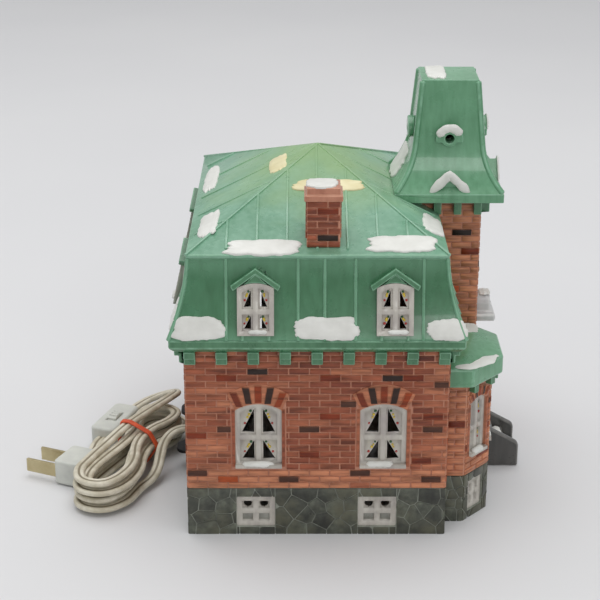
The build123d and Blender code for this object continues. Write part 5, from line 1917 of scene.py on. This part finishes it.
snow_stroke(line_of(*hood_ends), UP, 8.0, 0.9)
steps_low, steps_high = corners_of("front_steps")
steps_size = steps_high - steps_low
for step in range(STEP_COUNT):
    level = steps_low.z + steps_size.z * (STEP_COUNT - step) / STEP_COUNT
    run = steps_low.x + steps_size.x * (step + 0.5) / STEP_COUNT
    start = Vector((run, steps_high.y - 0.6, level))
    end = start - Vector((0, steps_size.y * draw.uniform(*STEP_SNOW), 0))
    snow_stroke(line_of(start, end), UP, 4.2, 1.1)
print("snow faces in all:", len(snow_faces))


# %% Paint of the snow
def snow_paint():
    """Thick white paint, cream where it was fired too hot."""
    material, tree, shader = start_material("snow_paint")
    white = ramp(tree, noise_field(tree, 130.0), [(0.3, (214, 214, 208)), (0.7, (230, 230, 225))])
    cream = ramp(tree, noise_field(tree, 130.0), [(0.3, (216, 204, 156)), (0.7, (232, 224, 182))])
    colour = mix(tree, stored(tree, "face_tone"), white, cream)
    dress(tree, shader, colour, (0.35, 0.55), (0.06, 500.0), 0.1)
    return material


snow = link_mesh("painted_snow", snow_vertices, snow_faces, snow_paint())
store(snow.data, "face_tone", snow_tones)
mend_normals(snow.data)
smooth_faces(snow.data, 70)
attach(snow, "house")
print("snow points:", len(snow_vertices))

# %% [markdown]
# ## Garlands
#
# Between the drawn curtains hangs a garland of paint dots, green at the top, then yellow, then red. Dots
# in a texture would blur at this size. So each dot is one point with a colour number, and a Geometry Nodes
# tree puts a small ball on it.

# %% Places of the dots
WINDOW_RECESS, FRAME_DEPTH, CURTAIN = 1.0, 2.6, 1.2
FRAME_BAR, MULLION, TRANSOM, GAP_MARGIN = 2.0, 2.2, 0.46, 0.8
ARCH_RISE_WIDE, ARCH_RISE_NARROW, WIDE_WINDOW = 3.0, 2.0, 15
DOT_PROUD = 0.05
DOT_SHIFT, DOT_LIFT, DOT_LOOSE = 0.7, 0.3, 0.15
DOT_SIZES = (0.45, 0.66)
DOT_SHARES = (0.12, 0.27, 0.39, 0.64)
DOT_TONES = (0.0, 0.5, 0.5, 1.0)
dot_points, dot_tones, dot_sizes = [], [], []


def window_dots(face, middle, sill, width, height, rise, depth):
    """Dots down the slanting edge of each gap of a window."""
    inner = MULLION / 2 + GAP_MARGIN
    outer = width / 2 - FRAME_BAR - GAP_MARGIN
    head = height - FRAME_BAR - GAP_MARGIN - rise * (2 * inner / (width - 2 * FRAME_BAR)) ** 2
    below = (FRAME_BAR + GAP_MARGIN, height * TRANSOM - MULLION / 2 - GAP_MARGIN)
    above = (height * TRANSOM + MULLION / 2 + GAP_MARGIN, head)
    for side in (-1, 1):
        for low, high in (below, above):
            for share, tone in zip(DOT_SHARES, DOT_TONES):
                loose = draw.uniform(-DOT_LOOSE, DOT_LOOSE)
                run = middle + side * (inner + (outer - inner) * share + DOT_SHIFT + loose)
                level = sill + high + (low - high) * share + DOT_LIFT
                dot_points.append(face.place(run, level, depth))
                dot_tones.append(tone)
                dot_sizes.append(draw.uniform(*DOT_SIZES) * MM)


curtain_depth = CURTAIN - FRAME_DEPTH + DOT_PROUD
for place in window_places:
    arch_rise = ARCH_RISE_WIDE if place[3] > WIDE_WINDOW else ARCH_RISE_NARROW
    window_dots(*place, arch_rise, curtain_depth - WINDOW_RECESS)
for face in dormer_faces:
    place = (face, face.length / 2, face.bottom, face.length, DORMER_HEIGHT)
    window_dots(*place, ARCH_RISE_NARROW, curtain_depth)
print("dots:", len(dot_points))


# %% Dots of paint
def dot_tree(material):
    """Small ball on every point, in the point's own size."""
    tree, start, end = new_tree("garland_dots")
    ball = put(tree, "GeometryNodeMeshIcoSphere", {"Radius": 1.0, "Subdivisions": 2}).outputs["Mesh"]
    inputs = {"Points": start.outputs["Geometry"], "Instance": ball, "Scale": named(tree, "size", "FLOAT")}
    dots = put(tree, "GeometryNodeInstanceOnPoints", inputs).outputs["Instances"]
    finish_tree(tree, end, dots, material)
    return tree


def dot_paint():
    """Green, yellow and red paint by number."""
    material, tree, shader = start_material("garland_paint")
    colours = [(0.0, (44, 92, 52)), (0.4, (214, 188, 60)), (0.8, (170, 40, 36))]
    paint = ramp(tree, stored(tree, "tone"), colours)
    paint.node.color_ramp.interpolation = "CONSTANT"
    dress(tree, shader, paint, (0.3, 0.5), (0.03, 900.0), 0.1)
    return material


dot_values = (("tone", "FLOAT", dot_tones), ("size", "FLOAT", dot_sizes))
dot_mesh = point_mesh("garland_dots", dot_points, dot_values)
dots = run_tree("garland_dots", dot_mesh, dot_tree(dot_paint()))
for polygon in dots.data.polygons:
    polygon.use_smooth = True
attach(dots, "house")
print("dot faces:", len(dots.data.polygons))

# %% [markdown]
# ## Lamp, switch and plug
#
# The lamp is black plastic with two spring clips that hold it in its hole. Inside stands a small clear
# bulb with a screw base. The switch and the plug on the cord are pale vinyl, and the blades are brass.
# They could be dressed like the house, but plain moulded things have even finishes. So softened copies with
# a faint change of tone are all they need.


# %% Small hardware
def plain_finish(name, dark, light, gloss, metallic=0.0):
    """Even plastic or metal with a faint change of tone."""
    material, tree, shader = start_material(name)
    shade = ramp(tree, noise_field(tree, 150.0), [(0.3, dark), (0.7, light)])
    dress(tree, shader, shade, gloss, (0.01, 1500.0))
    shader.inputs["Metallic"].default_value = metallic
    return material


def clear_glass():
    """Thin clear glass of the bulb."""
    material, _, shader = start_material("bulb_glass")
    shader.inputs["Base Color"].default_value = (0.95, 0.95, 0.93, 1.0)
    shader.inputs["Roughness"].default_value = 0.04
    shader.inputs["Transmission Weight"].default_value = 0.92
    shader.inputs["IOR"].default_value = 1.45
    return material


black_plastic = plain_finish("black_plastic", (16, 16, 17), (28, 28, 30), (0.35, 0.5))
spring_steel = plain_finish("spring_steel", (22, 22, 24), (36, 36, 38), (0.4, 0.55), 0.3)
bulb_metal = plain_finish("bulb_metal", (150, 150, 150), (180, 178, 172), (0.25, 0.4), 1.0)
plug_vinyl = plain_finish("plug_vinyl", (196, 198, 192), (212, 214, 206), (0.4, 0.52))
blade_metal = plain_finish("blade_metal", (186, 172, 134), (204, 192, 154), (0.3, 0.42), 1.0)
for node, width, finish in (
    ("lamp_socket", 0.5, black_plastic),
    ("clip_upper", 0.2, spring_steel),
    ("clip_lower", 0.2, spring_steel),
    ("bulb_base", 0.2, bulb_metal),
    ("bulb_glass", 0, clear_glass()),
):
    soften(node, width, finish)
cord_pieces = [
    soften("switch_body", 1.2, plug_vinyl, 3),
    soften("switch_wheel", 0.3, plug_vinyl),
    soften("plug_body", 1.2, plug_vinyl, 3),
    soften("plug_blades", 0.2, blade_metal),
]
print("hardware on the cord:", len(cord_pieces))

# %% [markdown]
# ## Floor and light
#
# The house stands on a plain pale sweep. One broad light overhead and two weaker ones, from the front and
# from behind on the left, give soft shadows close to the object, as in a small photo tent. A single small
# lamp would throw a hard shadow that the real place doesn't have.

# %% Floor
FLOOR_SIZE = 6.0
FLOOR_ROUGHNESS = 0.8


def floor_paper():
    """Pale matt paper."""
    material, tree, shader = start_material("floor_paper")
    paper = ramp(tree, noise_field(tree, 2.0), [(0.3, (216, 216, 218)), (0.7, (222, 222, 223))])
    tree.links.new(paper, shader.inputs["Base Color"])
    shader.inputs["Roughness"].default_value = FLOOR_ROUGHNESS
    return material


half = FLOOR_SIZE / 2
corners = [(-half, -half, 0), (half, -half, 0), (half, half, 0), (-half, half, 0)]
floor = link_mesh("floor", corners, [(0, 1, 2, 3)], floor_paper(), smooth=False)
print("floor:", FLOOR_SIZE, "m wide")

# %% Lights
LIGHTS = (
    ("overhead", (0.0, 0.1, 1.4), (0, 0, 0.05), 1.5, 14.0),
    ("rear_fill", (-1.3, 0.9, 1.0), (0, 0, 0.1), 1.0, 2.2),
    ("front_fill", (0.4, -1.6, 0.8), (0, 0, 0.08), 0.6, 4.0),
)
ROOM_COLOUR, ROOM_STRENGTH = (0.97, 0.975, 0.98, 1.0), 0.48
for name, place, target, size, power in LIGHTS:
    light_data = bpy.data.lights.new(name, "AREA")
    light_data.size = size
    light_data.energy = power
    light = add_object(name, light_data)
    light.location = place
    light.rotation_euler = (Vector(target) - Vector(place)).to_track_quat("-Z", "Y").to_euler()
world = bpy.data.worlds.new("soft_room")
world.use_nodes = True
background = world.node_tree.nodes["Background"]
background.inputs["Color"].default_value = ROOM_COLOUR
background.inputs["Strength"].default_value = ROOM_STRENGTH
bpy.context.scene.world = world
print("lights:", len(LIGHTS))
